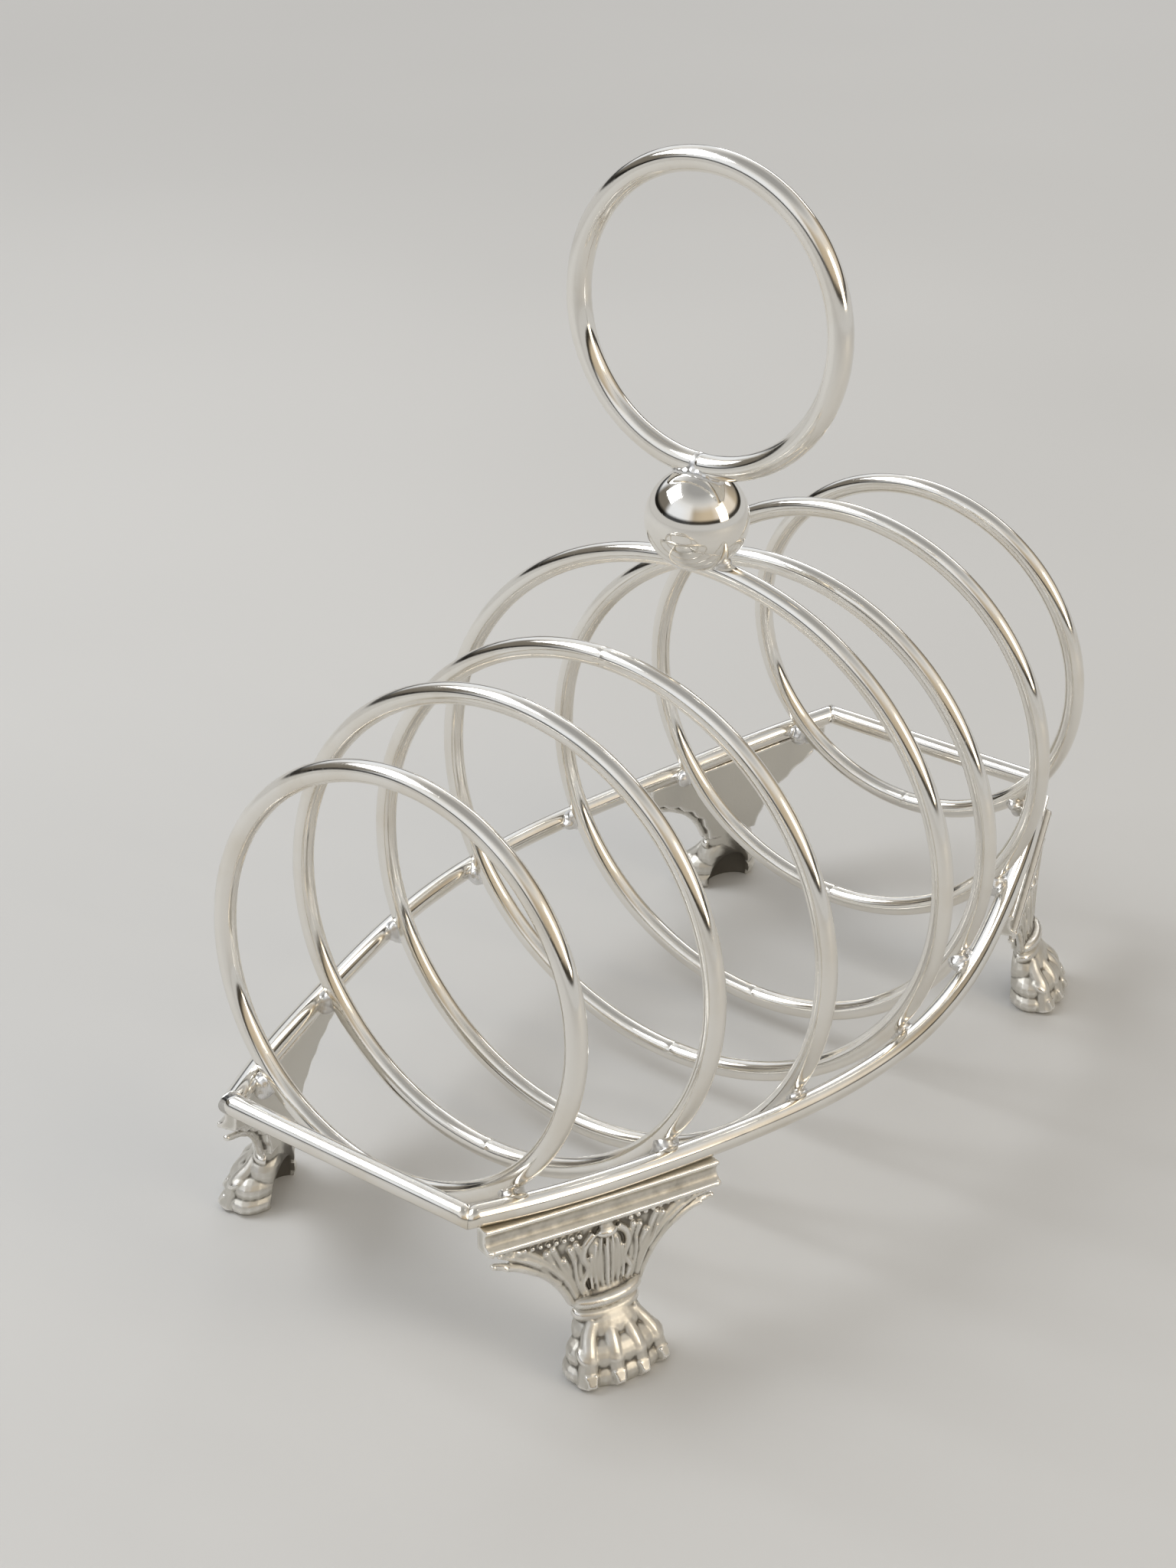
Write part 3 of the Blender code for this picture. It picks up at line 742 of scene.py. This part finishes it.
def foot_slope():
    inner = curve_at(RAIL, FOOT_PLACE - FOOT_HALF_LENGTH / 2)
    outer = curve_at(RAIL, FOOT_PLACE + FOOT_HALF_LENGTH / 2)
    return math.atan2(inner - outer, FOOT_HALF_LENGTH)


def foot_top(along):
    place = FOOT_PLACE - along * math.cos(foot_slope())
    return rail_height(place) - RAIL_ROD / 2 - FOOT_JOINT


def leaf_height(along, share):
    """A height between the collar, at 0, and the cornice, at 1."""
    base = PAW_HEIGHT + 2 * COLLAR_BEAD
    reach = abs(along) / FOOT_HALF_LENGTH
    top = foot_top(0.0) + (foot_top(along) - foot_top(0.0)) * reach - CORNICE_HEIGHT
    return base + (top - base) * share


def leaf_point(side, share_along, share_up, out):
    along = side * share_along * FOOT_HALF_LENGTH
    return Vector((along, out, leaf_height(along, share_up)))


def add_cornice(work):
    """The moulding under the rail, with a small lump at each tip."""
    profile = [(-BRACKET_BACK, 0.0)]
    profile += [(out * CORNICE_DEPTH, drop) for out, drop in CORNICE_FACE]
    profile.append((-BRACKET_BACK, 1.0))
    rows = []
    for step in range(CORNICE_STEPS + 1):
        along = FOOT_HALF_LENGTH * (2 * step / CORNICE_STEPS - 1)
        top = foot_top(along)
        rows.append([work.verts.new((along, out, top - drop * CORNICE_HEIGHT)) for out, drop in profile])
    join_rows(work, rows)
    work.faces.new(list(reversed(rows[0])))
    work.faces.new(rows[-1])
    size = shares_of((FOOT_HALF_LENGTH, CORNICE_DEPTH, CORNICE_HEIGHT), CORNICE_TIP_SIZE)
    share_along, share_out, share_down = CORNICE_TIP_PLACE
    for side in (-1, 1):
        along = side * share_along * FOOT_HALF_LENGTH
        height = foot_top(along) - share_down * CORNICE_HEIGHT
        add_lump(work, (along, share_out * CORNICE_DEPTH, height), size)


def add_bracket(work):
    """The flat plate behind the leaf, scalloped below and tucked into the cornice above."""
    near = [(-FOOT_HALF_LENGTH * out, share) for out, share in BRACKET_EDGE]
    far = [(FOOT_HALF_LENGTH * out, share) for out, share in reversed(BRACKET_EDGE)]
    outline = [(along, leaf_height(along, share)) for along, share in near + far]
    for step in range(BRACKET_TOP_STEPS + 1):
        along = BRACKET_TOP[0] * FOOT_HALF_LENGTH * (1 - 2 * step / BRACKET_TOP_STEPS)
        outline.append((along, foot_top(along) - BRACKET_TOP[1] * CORNICE_HEIGHT))
    rear = [work.verts.new((along, -BRACKET_BACK, height)) for along, height in outline]
    fore = [work.verts.new((along, BRACKET_FRONT, height)) for along, height in outline]
    work.faces.new(rear)
    work.faces.new(list(reversed(fore)))
    count = len(outline)
    for index in range(count):
        after = (index + 1) % count
        work.faces.new((rear[index], fore[index], fore[after], rear[after]))


def add_leaf_line(work, side, shares, line):
    """A raised line on the leaf through points given as shares."""
    root, tip, lift = line
    path = [leaf_point(side, out, up, BRACKET_FRONT + lift) for out, up in shares]
    add_stroke(work, path, root, tip)


def add_frond(work, side, frond):
    """A side leaf of three rounded lobes that fan from one root, with creases between."""
    root, tip, lift = FROND_LINE
    last = len(frond) - 1
    for lobe in (-1, 0, 1):
        path = []
        for index, (out, up) in enumerate(frond):
            spread = lobe * FROND_SPREAD * (0.45 + 0.55 * index / last)
            height = up - FROND_SLANT * spread - FROND_DROP * abs(lobe)
            path.append(leaf_point(side, out + spread, height, BRACKET_FRONT + lift))
        path[-1].y += FROND_TIP_LIFT
        add_stroke(work, path, root, tip, BROAD_STROKE_SIDES)
        add_lump(work, path[-1], FROND_TIP)
    add_leaf_line(work, side, frond[:-1], FROND_RIB_LINE)


def add_beads(work, side):
    first, last, count = BEAD_ROW
    height, rise = BEAD_UP
    radius, taper = BEAD_RADIUS
    for index in range(count):
        share = index / (count - 1)
        out = first + (last - first) * share
        bead = (radius - taper * share) * MM
        spot = leaf_point(side, out, height + rise * share, BRACKET_FRONT + BEAD_LIFT)
        add_lump(work, spot, (bead, bead, bead))


def add_leafwork(work):
    """The upright middle leaf with its ribs and rolled top, the side fronds, the rims and the beads."""
    zone = leaf_height(0.0, 1.0) - leaf_height(0.0, 0.0)
    front = BRACKET_FRONT
    lobe_along, lobe_up = LOBE_PLACE
    edge = [(out - EDGE_INSET[0], up + EDGE_INSET[1]) for out, up in BRACKET_EDGE]
    for side in (-1, 1):
        lobe = (side * lobe_along * FOOT_HALF_LENGTH, front - LOBE_SINK, leaf_height(0.0, lobe_up))
        add_lump(work, lobe, (*LOBE_SIZE, LOBE_TALL * zone))
        add_leaf_line(work, side, LEAF_RIM, RIM_LINE)
        for vein in LEAF_VEINS:
            add_leaf_line(work, side, vein, VEIN_LINE)
        add_leaf_line(work, side, edge, EDGE_LINE)
        for frond in FRONDS:
            add_frond(work, side, frond)
        add_beads(work, side)
    add_leaf_line(work, 1, LEAF_MIDRIB, MIDRIB_LINE)
    add_lump(work, leaf_point(1, 0.0, CURL_UP, front + CURL_LIFT), CURL_SIZE)
    add_lump(work, leaf_point(1, 0.0, CROWN_UP, front + CROWN_LIFT), CROWN_SIZE)


def add_collar(work):
    """Two half-round rings round the ankle, the upper a little wider."""
    middle = COLLAR_DEPTH / 6
    low = PAW_HEIGHT + COLLAR_BEAD / 2
    high = PAW_HEIGHT + COLLAR_BEAD * 3 / 2
    bead = COLLAR_RING_BEAD * COLLAR_BEAD
    for height, girth in ((high, 1.0), (low, COLLAR_LOWER_GIRTH)):
        half_width = girth * COLLAR_HALF_WIDTH - bead
        depth = COLLAR_FLATTENING * girth * COLLAR_DEPTH - bead
        ring = []
        for step in range(COLLAR_STEPS + 1):
            turn = math.pi * (COLLAR_START - COLLAR_SWEEP * step / COLLAR_STEPS)
            ring.append((half_width * math.cos(turn), middle + depth * math.sin(turn), height))
        add_stroke(work, ring, bead, bead, BROAD_STROKE_SIDES)
    core = shares_of((COLLAR_HALF_WIDTH, COLLAR_DEPTH, COLLAR_BEAD), COLLAR_CORE)
    add_lump(work, (0.0, middle, PAW_HEIGHT + COLLAR_CORE_LIFT * COLLAR_BEAD), core)


def add_nail(work, place, turn):
    """A claw's nail: a short blunt wedge with flat facets, pointing down and out."""
    shape = (
        Matrix.Translation(place)
        @ Matrix.Rotation(turn, 4, "Z")
        @ Matrix.Rotation(NAIL_TILT, 4, "X")
        @ Matrix.Diagonal((*NAIL_SIZE, 1.0))
    )
    bmesh.ops.create_cone(
        work, cap_ends=True, segments=NAIL_FACETS, radius1=1.0, radius2=NAIL_BLUNTNESS,
        depth=NAIL_LENGTH, matrix=shape,
    )


def add_paw(work):
    """A broad fan of four toes: ridges down from the collar, knuckles with pits between, blunt claws."""
    wide = PAW_WIDER * PAW_HALF_WIDTH
    tall = PAW_HEIGHT
    reach = PAW_SHORTER * PAW_REACH
    full = (wide, reach, tall)
    for out, up, shares in PAW_BASE:
        add_lump(work, (0.0, out * reach, up * tall), shares_of(full, shares))
    knuckle = shares_of(full, KNUCKLE_SIZE)
    for along, out, aside in TOES:
        tip = (along + aside) * wide
        ridge = (
            (0.56 * along * wide, 0.30 * reach, 1.02 * tall),
            (0.76 * along * wide, (out - 0.08) * reach, 0.80 * tall),
            (0.93 * along * wide, (out + 0.10) * reach, 0.56 * tall),
            (along * wide, (out + 0.16) * reach, 0.28 * tall),
            (tip, (out + 0.20) * reach, 0.02 * tall),
        )
        add_stroke(work, ridge, TOE_LINE[0] * wide, TOE_LINE[1] * wide, BROAD_STROKE_SIDES)
        add_lump(work, ridge[2], knuckle, KNUCKLE_TILT)
        add_nail(work, (tip, (out + NAIL_OUT) * reach, NAIL_UP * tall), NAIL_TURN * aside)


def paw_hollow():
    """The casting is a shell: its paw is open at the back and below."""
    work = bmesh.new()
    outside = shares_of((PAW_HALF_WIDTH, PAW_REACH, PAW_HEIGHT), HOLLOW_SIZE)
    size = [length - PAW_WALL for length in outside]
    add_lump(work, (0.0, -BRACKET_BACK, HOLLOW_LIFT * PAW_HEIGHT), size)
    return finished_mesh("paw_hollow", work)


def cut_hollow(mesh):
    casting = link_object("casting", mesh)
    hollow = link_object("hollow", paw_hollow())
    cut = casting.modifiers.new("hollow", "BOOLEAN")
    cut.operation = "DIFFERENCE"
    cut.solver = "EXACT"
    cut.object = hollow
    final = evaluated_mesh(casting)
    for obj in (casting, hollow):
        bpy.data.objects.remove(obj, do_unlink=True)
    return final


def foot_mesh():
    """One foot in its own frame: X along the rail, Y outward, Z up from the table."""
    work = bmesh.new()
    add_cornice(work)
    add_bracket(work)
    add_leafwork(work)
    add_collar(work)
    add_paw(work)
    mesh = cut_hollow(cast_mesh(work, FOOT_VOXEL, FOOT_SMOOTHING))
    keep_relief(mesh, RELIEF_SPREAD)
    slice_flat(mesh, (0.0, -BRACKET_BACK, 0.0), (0.0, 1.0, 0.0))
    top = foot_top(0.0)
    for vertex in mesh.vertices:
        vertex.co.y += FOOT_SPLAY * (1 - vertex.co.z / top)
    slice_flat(mesh, (0.0, 0.0, 0.0), (0.0, 0.0, 1.0))
    return mesh


def build_feet(material):
    casting = foot_mesh()
    slope = foot_slope()
    inward = Vector((math.sin(slope), math.cos(slope), 0.0))
    outward = Vector((math.cos(slope), -math.sin(slope), 0.0))
    turn = Matrix((inward, outward, (0.0, 0.0, 1.0))).transposed().to_4x4()
    place = Matrix.Translation((curve_at(RAIL, FOOT_PLACE), -FOOT_PLACE, 0.0)) @ turn
    for end, end_name in ENDS:
        for side, side_name in SIDES:
            mesh = casting.copy()
            mesh.transform(Matrix.Diagonal((side, -end, 1.0, 1.0)) @ place)
            if side == end:
                mesh.flip_normals()
            name = "foot_" + end_name + "_" + side_name
            add_piece(name + "_casting", mesh, material, (name,))


# Finishes

def new_group(name, inputs, outputs):
    """A shader node group with named float or colour sockets."""
    tree = bpy.data.node_groups.new(name, "ShaderNodeTree")
    for socket, value in inputs:
        kind = "NodeSocketColor" if isinstance(value, tuple) else "NodeSocketFloat"
        tree.interface.new_socket(socket, in_out="INPUT", socket_type=kind).default_value = value
    for socket, kind in outputs:
        tree.interface.new_socket(socket, in_out="OUTPUT", socket_type=kind)
    return tree, tree.nodes.new("NodeGroupInput"), tree.nodes.new("NodeGroupOutput")


def add_noise(tree, coordinates, scale, detail):
    made = tree.nodes.new("ShaderNodeTexNoise")
    made.inputs["Scale"].default_value = scale
    made.inputs["Detail"].default_value = detail
    made.inputs["Roughness"].default_value = 0.55
    tree.links.new(coordinates, made.inputs["Vector"])
    return made.outputs["Fac"]


def add_range(tree, value, low, high, start=0.0, end=1.0):
    made = tree.nodes.new("ShaderNodeMapRange")
    made.interpolation_type = "SMOOTHSTEP"
    for socket, number in (("From Min", low), ("From Max", high), ("To Min", start), ("To Max", end)):
        made.inputs[socket].default_value = number
    tree.links.new(value, made.inputs["Value"])
    return made.outputs["Result"]


def add_math(tree, operation, *values):
    made = tree.nodes.new("ShaderNodeMath")
    made.operation = operation
    for socket, value in zip(made.inputs, values):
        if isinstance(value, (int, float)):
            socket.default_value = value
        else:
            tree.links.new(value, socket)
    return made.outputs["Value"]


def add_mix(tree, share, first, second, blend="MIX"):
    made = tree.nodes.new("ShaderNodeMix")
    made.data_type = "RGBA"
    made.blend_type = blend
    for name, value in (("Factor", share), ("A", first), ("B", second)):
        if hasattr(value, "links"):
            tree.links.new(value, made.inputs[name])
        else:
            made.inputs[name].default_value = value
    return made.outputs["Result"]


def object_place(tree):
    return tree.nodes.new("ShaderNodeTexCoord").outputs["Object"]


def named_attribute(tree, name, output):
    made = tree.nodes.new("ShaderNodeAttribute")
    made.attribute_name = name
    return made.outputs[output]


def tarnish_and_underside_shade_group():
    """Tarnish in warm drifting patches, and painted shade: the same warm colour laid thicker where the
    metal faces down.
    """
    tree, given, made = new_group(
        "tarnish_film_and_underside_shade",
        (("Clean", CLEAN_SILVER), ("Film and shade colour", WARM_FILM_AND_UNDERSIDE_SHADE), ("Amount", 0.5)),
        (("Color", "NodeSocketColor"), ("Mask", "NodeSocketFloat")),
    )
    drift = add_noise(tree, object_place(tree), scale=70.0, detail=5.0)
    specks = add_noise(tree, object_place(tree), scale=900.0, detail=3.0)
    split = tree.nodes.new("ShaderNodeSeparateXYZ")
    tree.links.new(tree.nodes.new("ShaderNodeNewGeometry").outputs["Normal"], split.inputs["Vector"])
    # Painted shade: the more a surface faces down, the more of the warm dark colour it gets, standing in
    # for the shade under the rods
    under = add_range(tree, split.outputs["Z"], 0.5, -0.9)
    patches = add_range(tree, drift, 0.42, 0.70)
    fine = add_range(tree, specks, 0.55, 0.75, 0.0, 0.35)
    under = add_math(tree, "MULTIPLY", under, 0.55)
    patches = add_math(tree, "MULTIPLY", patches, 0.5)
    whole = add_math(tree, "ADD", under, patches)
    whole = add_math(tree, "ADD", whole, add_math(tree, "MULTIPLY", fine, whole))
    mask = add_math(tree, "MULTIPLY", whole, given.outputs["Amount"])
    mask = add_math(tree, "MINIMUM", mask, 1.0)
    colour = add_mix(tree, mask, given.outputs["Clean"], given.outputs["Film and shade colour"])
    tree.links.new(colour, made.inputs["Color"])
    tree.links.new(mask, made.inputs["Mask"])
    return tree


def handling_group():
    """Fine scratches, smears and a faint ripple from years of use and cleaning."""
    tree, given, made = new_group(
        "handling_marks",
        (("Roughness", 0.1), ("Smears", 0.1), ("Scratches", 0.5)),
        (("Roughness", "NodeSocketFloat"), ("Height", "NodeSocketFloat")),
    )
    place = object_place(tree)
    smear = add_range(tree, add_noise(tree, place, scale=160.0, detail=4.0), 0.40, 0.72)
    lines = []
    for index, turn in enumerate((0.4, 1.5, 2.6)):
        stretch = tree.nodes.new("ShaderNodeMapping")
        stretch.inputs["Rotation"].default_value = (turn, 0.7 * turn, 1.3 * index)
        stretch.inputs["Scale"].default_value = (2600.0, 90.0, 90.0)
        tree.links.new(place, stretch.inputs["Vector"])
        streaks = add_noise(tree, stretch.outputs["Vector"], scale=1.0, detail=2.0)
        lines.append(add_range(tree, streaks, 0.68, 0.76))
    scratch = add_math(tree, "MAXIMUM", add_math(tree, "MAXIMUM", lines[0], lines[1]), lines[2])
    scratch = add_math(tree, "MULTIPLY", scratch, given.outputs["Scratches"])
    smear = add_math(tree, "MULTIPLY", smear, given.outputs["Smears"])
    rough = add_math(tree, "ADD", given.outputs["Roughness"], smear)
    rough = add_math(tree, "ADD", rough, add_math(tree, "MULTIPLY", scratch, 0.12))
    ripple = add_math(tree, "MULTIPLY", add_noise(tree, place, scale=420.0, detail=2.0), 0.6)
    height = add_math(tree, "SUBTRACT", ripple, add_math(tree, "MULTIPLY", scratch, 0.5))
    tree.links.new(rough, made.inputs["Roughness"])
    tree.links.new(height, made.inputs["Height"])
    return tree


def drawn_lines_group():
    """Faint lines along a rod, left by the draw plate."""
    tree, given, made = new_group("drawn_lines", (("Amount", 0.5),), (("Height", "NodeSocketFloat"),))
    stretch = tree.nodes.new("ShaderNodeMapping")
    stretch.inputs["Scale"].default_value = (2200.0, 2200.0, 40.0)
    tree.links.new(named_attribute(tree, "grain", "Vector"), stretch.inputs["Vector"])
    lines = add_noise(tree, stretch.outputs["Vector"], scale=1.0, detail=3.0)
    tree.links.new(add_math(tree, "MULTIPLY", lines, given.outputs["Amount"]), made.inputs["Height"])
    return tree


def cast_rub_and_hollow_group():
    """A darker colour in a casting's hollows and bright rubbed high points."""
    tree, given, made = new_group(
        "cast_wear_and_dark_hollows",
        (("Hollow", CAST_HOLLOW_DARK), ("Frosted", CAST_FROST), ("Rubbed", CAST_RUBBED)),
        (("Color", "NodeSocketColor"), ("Rubbed", "NodeSocketFloat"), ("Height", "NodeSocketFloat")),
    )
    relief = named_attribute(tree, "relief", "Fac")
    place = object_place(tree)
    grit = add_noise(tree, place, scale=1500.0, detail=4.0)
    uneven = add_math(tree, "SUBTRACT", add_noise(tree, place, scale=500.0, detail=3.0), 0.5)
    uneven = add_math(tree, "MULTIPLY", uneven, 0.5)
    relief = add_math(tree, "ADD", relief, uneven)
    rubbed = add_range(tree, relief, 0.12, 0.75)
    hollow = add_range(tree, relief, -0.08, -0.65)
    colour = add_mix(tree, rubbed, given.outputs["Frosted"], given.outputs["Rubbed"])
    colour = add_mix(tree, hollow, colour, given.outputs["Hollow"])
    tree.links.new(colour, made.inputs["Color"])
    tree.links.new(rubbed, made.inputs["Rubbed"])
    tree.links.new(grit, made.inputs["Height"])
    return tree


def place_group(tree, group, values):
    made = tree.nodes.new("ShaderNodeGroup")
    made.node_tree = group
    for socket, value in values:
        made.inputs[socket].default_value = value
    return made


def new_metal(name):
    material = bpy.data.materials.new(name)
    material.use_nodes = True
    tree = material.node_tree
    shader = tree.nodes["Principled BSDF"]
    shader.inputs["Metallic"].default_value = 1.0
    return material, tree, shader


def add_bump(tree, shader, height, distance, strength):
    bump = tree.nodes.new("ShaderNodeBump")
    bump.inputs["Distance"].default_value = distance
    bump.inputs["Strength"].default_value = strength
    tree.links.new(height, bump.inputs["Height"])
    tree.links.new(bump.outputs["Normal"], shader.inputs["Normal"])


def polished_silver(name, groups, amount, roughness, smears, lines, clean=CLEAN_SILVER, film_and_shade=WARM_FILM_AND_UNDERSIDE_SHADE):
    material, tree, shader = new_metal(name)
    tarnish_and_shade = place_group(tree, groups["tarnish_and_shade"], (("Clean", clean), ("Film and shade colour", film_and_shade), ("Amount", amount)))
    wear = (("Roughness", roughness), ("Smears", smears), ("Scratches", 0.6))
    marks = place_group(tree, groups["handling"], wear)
    dulling = add_math(tree, "MULTIPLY", tarnish_and_shade.outputs["Mask"], 0.10)
    rough = add_math(tree, "ADD", marks.outputs["Roughness"], dulling)
    height = marks.outputs["Height"]
    if lines:
        drawn = place_group(tree, groups["drawn"], (("Amount", lines),))
        height = add_math(tree, "ADD", height, drawn.outputs["Height"])
    tree.links.new(tarnish_and_shade.outputs["Color"], shader.inputs["Base Color"])
    tree.links.new(rough, shader.inputs["Roughness"])
    add_bump(tree, shader, height, distance=0.02 * MM, strength=0.35)
    return material


def cast_silver(name, groups):
    material, tree, shader = new_metal(name)
    colours = (("Hollow", CAST_HOLLOW_DARK), ("Frosted", CAST_FROST), ("Rubbed", CAST_RUBBED))
    wear = place_group(tree, groups["cast"], colours)
    rough = add_math(tree, "SUBTRACT", 0.46, add_math(tree, "MULTIPLY", wear.outputs["Rubbed"], 0.26))
    tree.links.new(wear.outputs["Color"], shader.inputs["Base Color"])
    tree.links.new(rough, shader.inputs["Roughness"])
    add_bump(tree, shader, wear.outputs["Height"], distance=0.05 * MM, strength=0.5)
    return material


def finishes():
    groups = {
        "tarnish_and_shade": tarnish_and_underside_shade_group(),
        "handling": handling_group(),
        "drawn": drawn_lines_group(),
        "cast": cast_rub_and_hollow_group(),
    }
    return {
        "hoop": polished_silver(
            "hoop_silver_polish", groups, amount=0.40, roughness=0.09, smears=0.07, lines=1.8
        ),
        "frame": polished_silver(
            "frame_silver_polish", groups, amount=0.60, roughness=0.10, smears=0.09, lines=1.8
        ),
        "handle": polished_silver(
            "handle_silver_polish", groups, amount=0.30, roughness=0.05, smears=0.05, lines=0.0
        ),
        "ring": polished_silver(
            "ring_silver_polish", groups, amount=0.35, roughness=0.08, smears=0.06, lines=1.6
        ),
        "solder": polished_silver(
            "solder_film_and_underside_shade", groups, amount=0.5, roughness=0.24, smears=0.10, lines=0.0,
            clean=SOLDER_GREY, film_and_shade=SOLDER_FILM_AND_UNDERSIDE_SHADE,
        ),
        "cast": cast_silver("cast_silver_frost", groups),
    }


# The studio

def build_floor():
    """A pale round floor that turns into an even glow far from the rack."""
    work = bmesh.new()
    bmesh.ops.create_circle(work, cap_ends=True, segments=FLOOR_SEGMENTS, radius=FLOOR_RADIUS)
    bmesh.ops.translate(work, vec=(0.0, 0.0, -FLOOR_DROP), verts=work.verts)
    floor = link_object("studio_floor", finished_mesh("floor", work))
    material = bpy.data.materials.new("pale_floor")
    material.use_nodes = True
    tree = material.node_tree
    shader = tree.nodes["Principled BSDF"]
    shader.inputs["Roughness"].default_value = FLOOR_ROUGHNESS
    cloud = add_range(tree, add_noise(tree, object_place(tree), scale=3.0, detail=2.0), 0.3, 0.7)
    pale = add_mix(tree, cloud, FLOOR_DIM, FLOOR_PALE)
    tree.links.new(pale, shader.inputs["Base Color"])
    away = tree.nodes.new("ShaderNodeVectorMath")
    away.operation = "LENGTH"
    tree.links.new(object_place(tree), away.inputs[0])
    glow = tree.nodes.new("ShaderNodeEmission")
    glow.inputs["Color"].default_value = ROOM_SKIRTING
    cove = tree.nodes.new("ShaderNodeMixShader")
    tree.links.new(add_range(tree, away.outputs["Value"], COVE_START, COVE_END), cove.inputs["Fac"])
    tree.links.new(shader.outputs["BSDF"], cove.inputs[1])
    tree.links.new(glow.outputs["Emission"], cove.inputs[2])
    tree.links.new(cove.outputs["Shader"], tree.nodes["Material Output"].inputs["Surface"])
    floor.data.materials.append(material)


def build_world():
    """A soft room: pale walls with tall dim gaps, a dark line over a pale skirting, a dimmer ceiling."""
    world = bpy.data.worlds.new("studio_room")
    bpy.context.scene.world = world
    world.use_nodes = True
    tree = world.node_tree
    split = tree.nodes.new("ShaderNodeSeparateXYZ")
    tree.links.new(tree.nodes.new("ShaderNodeTexCoord").outputs["Generated"], split.inputs["Vector"])
    ramp = tree.nodes.new("ShaderNodeValToRGB")
    ramp.color_ramp.elements.remove(ramp.color_ramp.elements[1])
    for index, (height, level) in enumerate(ROOM_LEVELS):
        place = 0.5 + 0.5 * height
        stop = ramp.color_ramp.elements.new(place) if index else ramp.color_ramp.elements[0]
        stop.color = (level, level, level, 1.0)
    upright = add_math(tree, "MULTIPLY_ADD", split.outputs["Z"], 0.5, 0.5)
    tree.links.new(upright, ramp.inputs["Fac"])
    around = add_math(tree, "ARCTAN2", split.outputs["Y"], split.outputs["X"])
    wave = add_math(tree, "MULTIPLY_ADD", around, ROOM_WINDOWS, ROOM_TURN)
    window = add_range(tree, add_math(tree, "SINE", wave), -0.55, 0.35)
    walls = add_mix(tree, window, ROOM_GAP, ROOM_WINDOW)
    side = add_range(tree, split.outputs["X"], -0.2, 0.8, 0.0, 0.7)
    walls = add_mix(tree, side, walls, ROOM_WARM)
    overhead = add_range(tree, split.outputs["Z"], 0.50, 0.85)
    walls = add_mix(tree, overhead, walls, ROOM_CEILING)
    room = add_mix(tree, 1.0, ramp.outputs["Color"], walls, "MULTIPLY")
    skirting = add_range(tree, split.outputs["Z"], 0.13, 0.09)
    whole = add_mix(tree, skirting, room, ROOM_SKIRTING)
    tree.links.new(whole, tree.nodes["Background"].inputs["Color"])


def build_lamp(name, place, size, power, colour):
    lamp = bpy.data.lights.new(name, "AREA")
    lamp.shape = "RECTANGLE"
    lamp.size, lamp.size_y = size
    lamp.energy = power
    lamp.color = colour
    obj = link_object(name, lamp)
    obj.location = place
    aim = LAMP_AIM - obj.location
    obj.rotation_euler = aim.to_track_quat("-Z", "Y").to_euler()


def build_lamps():
    build_lamp("window_softbox", (-0.55, -0.30, 0.75), (0.55, 0.40), 4.0, (0.96, 0.98, 1.0))
    build_lamp("warm_fill", (0.85, 0.10, 0.45), (0.35, 0.50), 1.6, (1.0, 0.88, 0.70))
    build_lamp("back_strip", (-0.20, 0.90, 0.60), (0.70, 0.18), 1.2, (1.0, 0.98, 0.95))


def build_camera():
    lens = bpy.data.cameras.new("camera")
    lens.sensor_width = CAMERA_SENSOR
    lens.lens = CAMERA_LENS
    lens.clip_start = CAMERA_NEAR
    camera = link_object("camera", lens)
    camera.matrix_world = (
        Matrix.Translation(CAMERA_EYE)
        @ Matrix.Rotation(CAMERA_YAW, 4, "Z")
        @ Matrix.Rotation(math.pi / 2 + CAMERA_PITCH, 4, "X")
        @ Matrix.Rotation(CAMERA_ROLL, 4, "Z")
    )
    bpy.context.scene.camera = camera


def main():
    bpy.context.scene.view_settings.view_transform = "Standard"
    build_camera()
    build_floor()
    build_world()
    build_lamps()
    finish = finishes()
    build_hoops(finish["hoop"])
    build_frame(finish["frame"])
    build_ring(finish["ring"])
    build_ball(finish["handle"])
    build_solder(finish["solder"])
    build_feet(finish["cast"])


main()
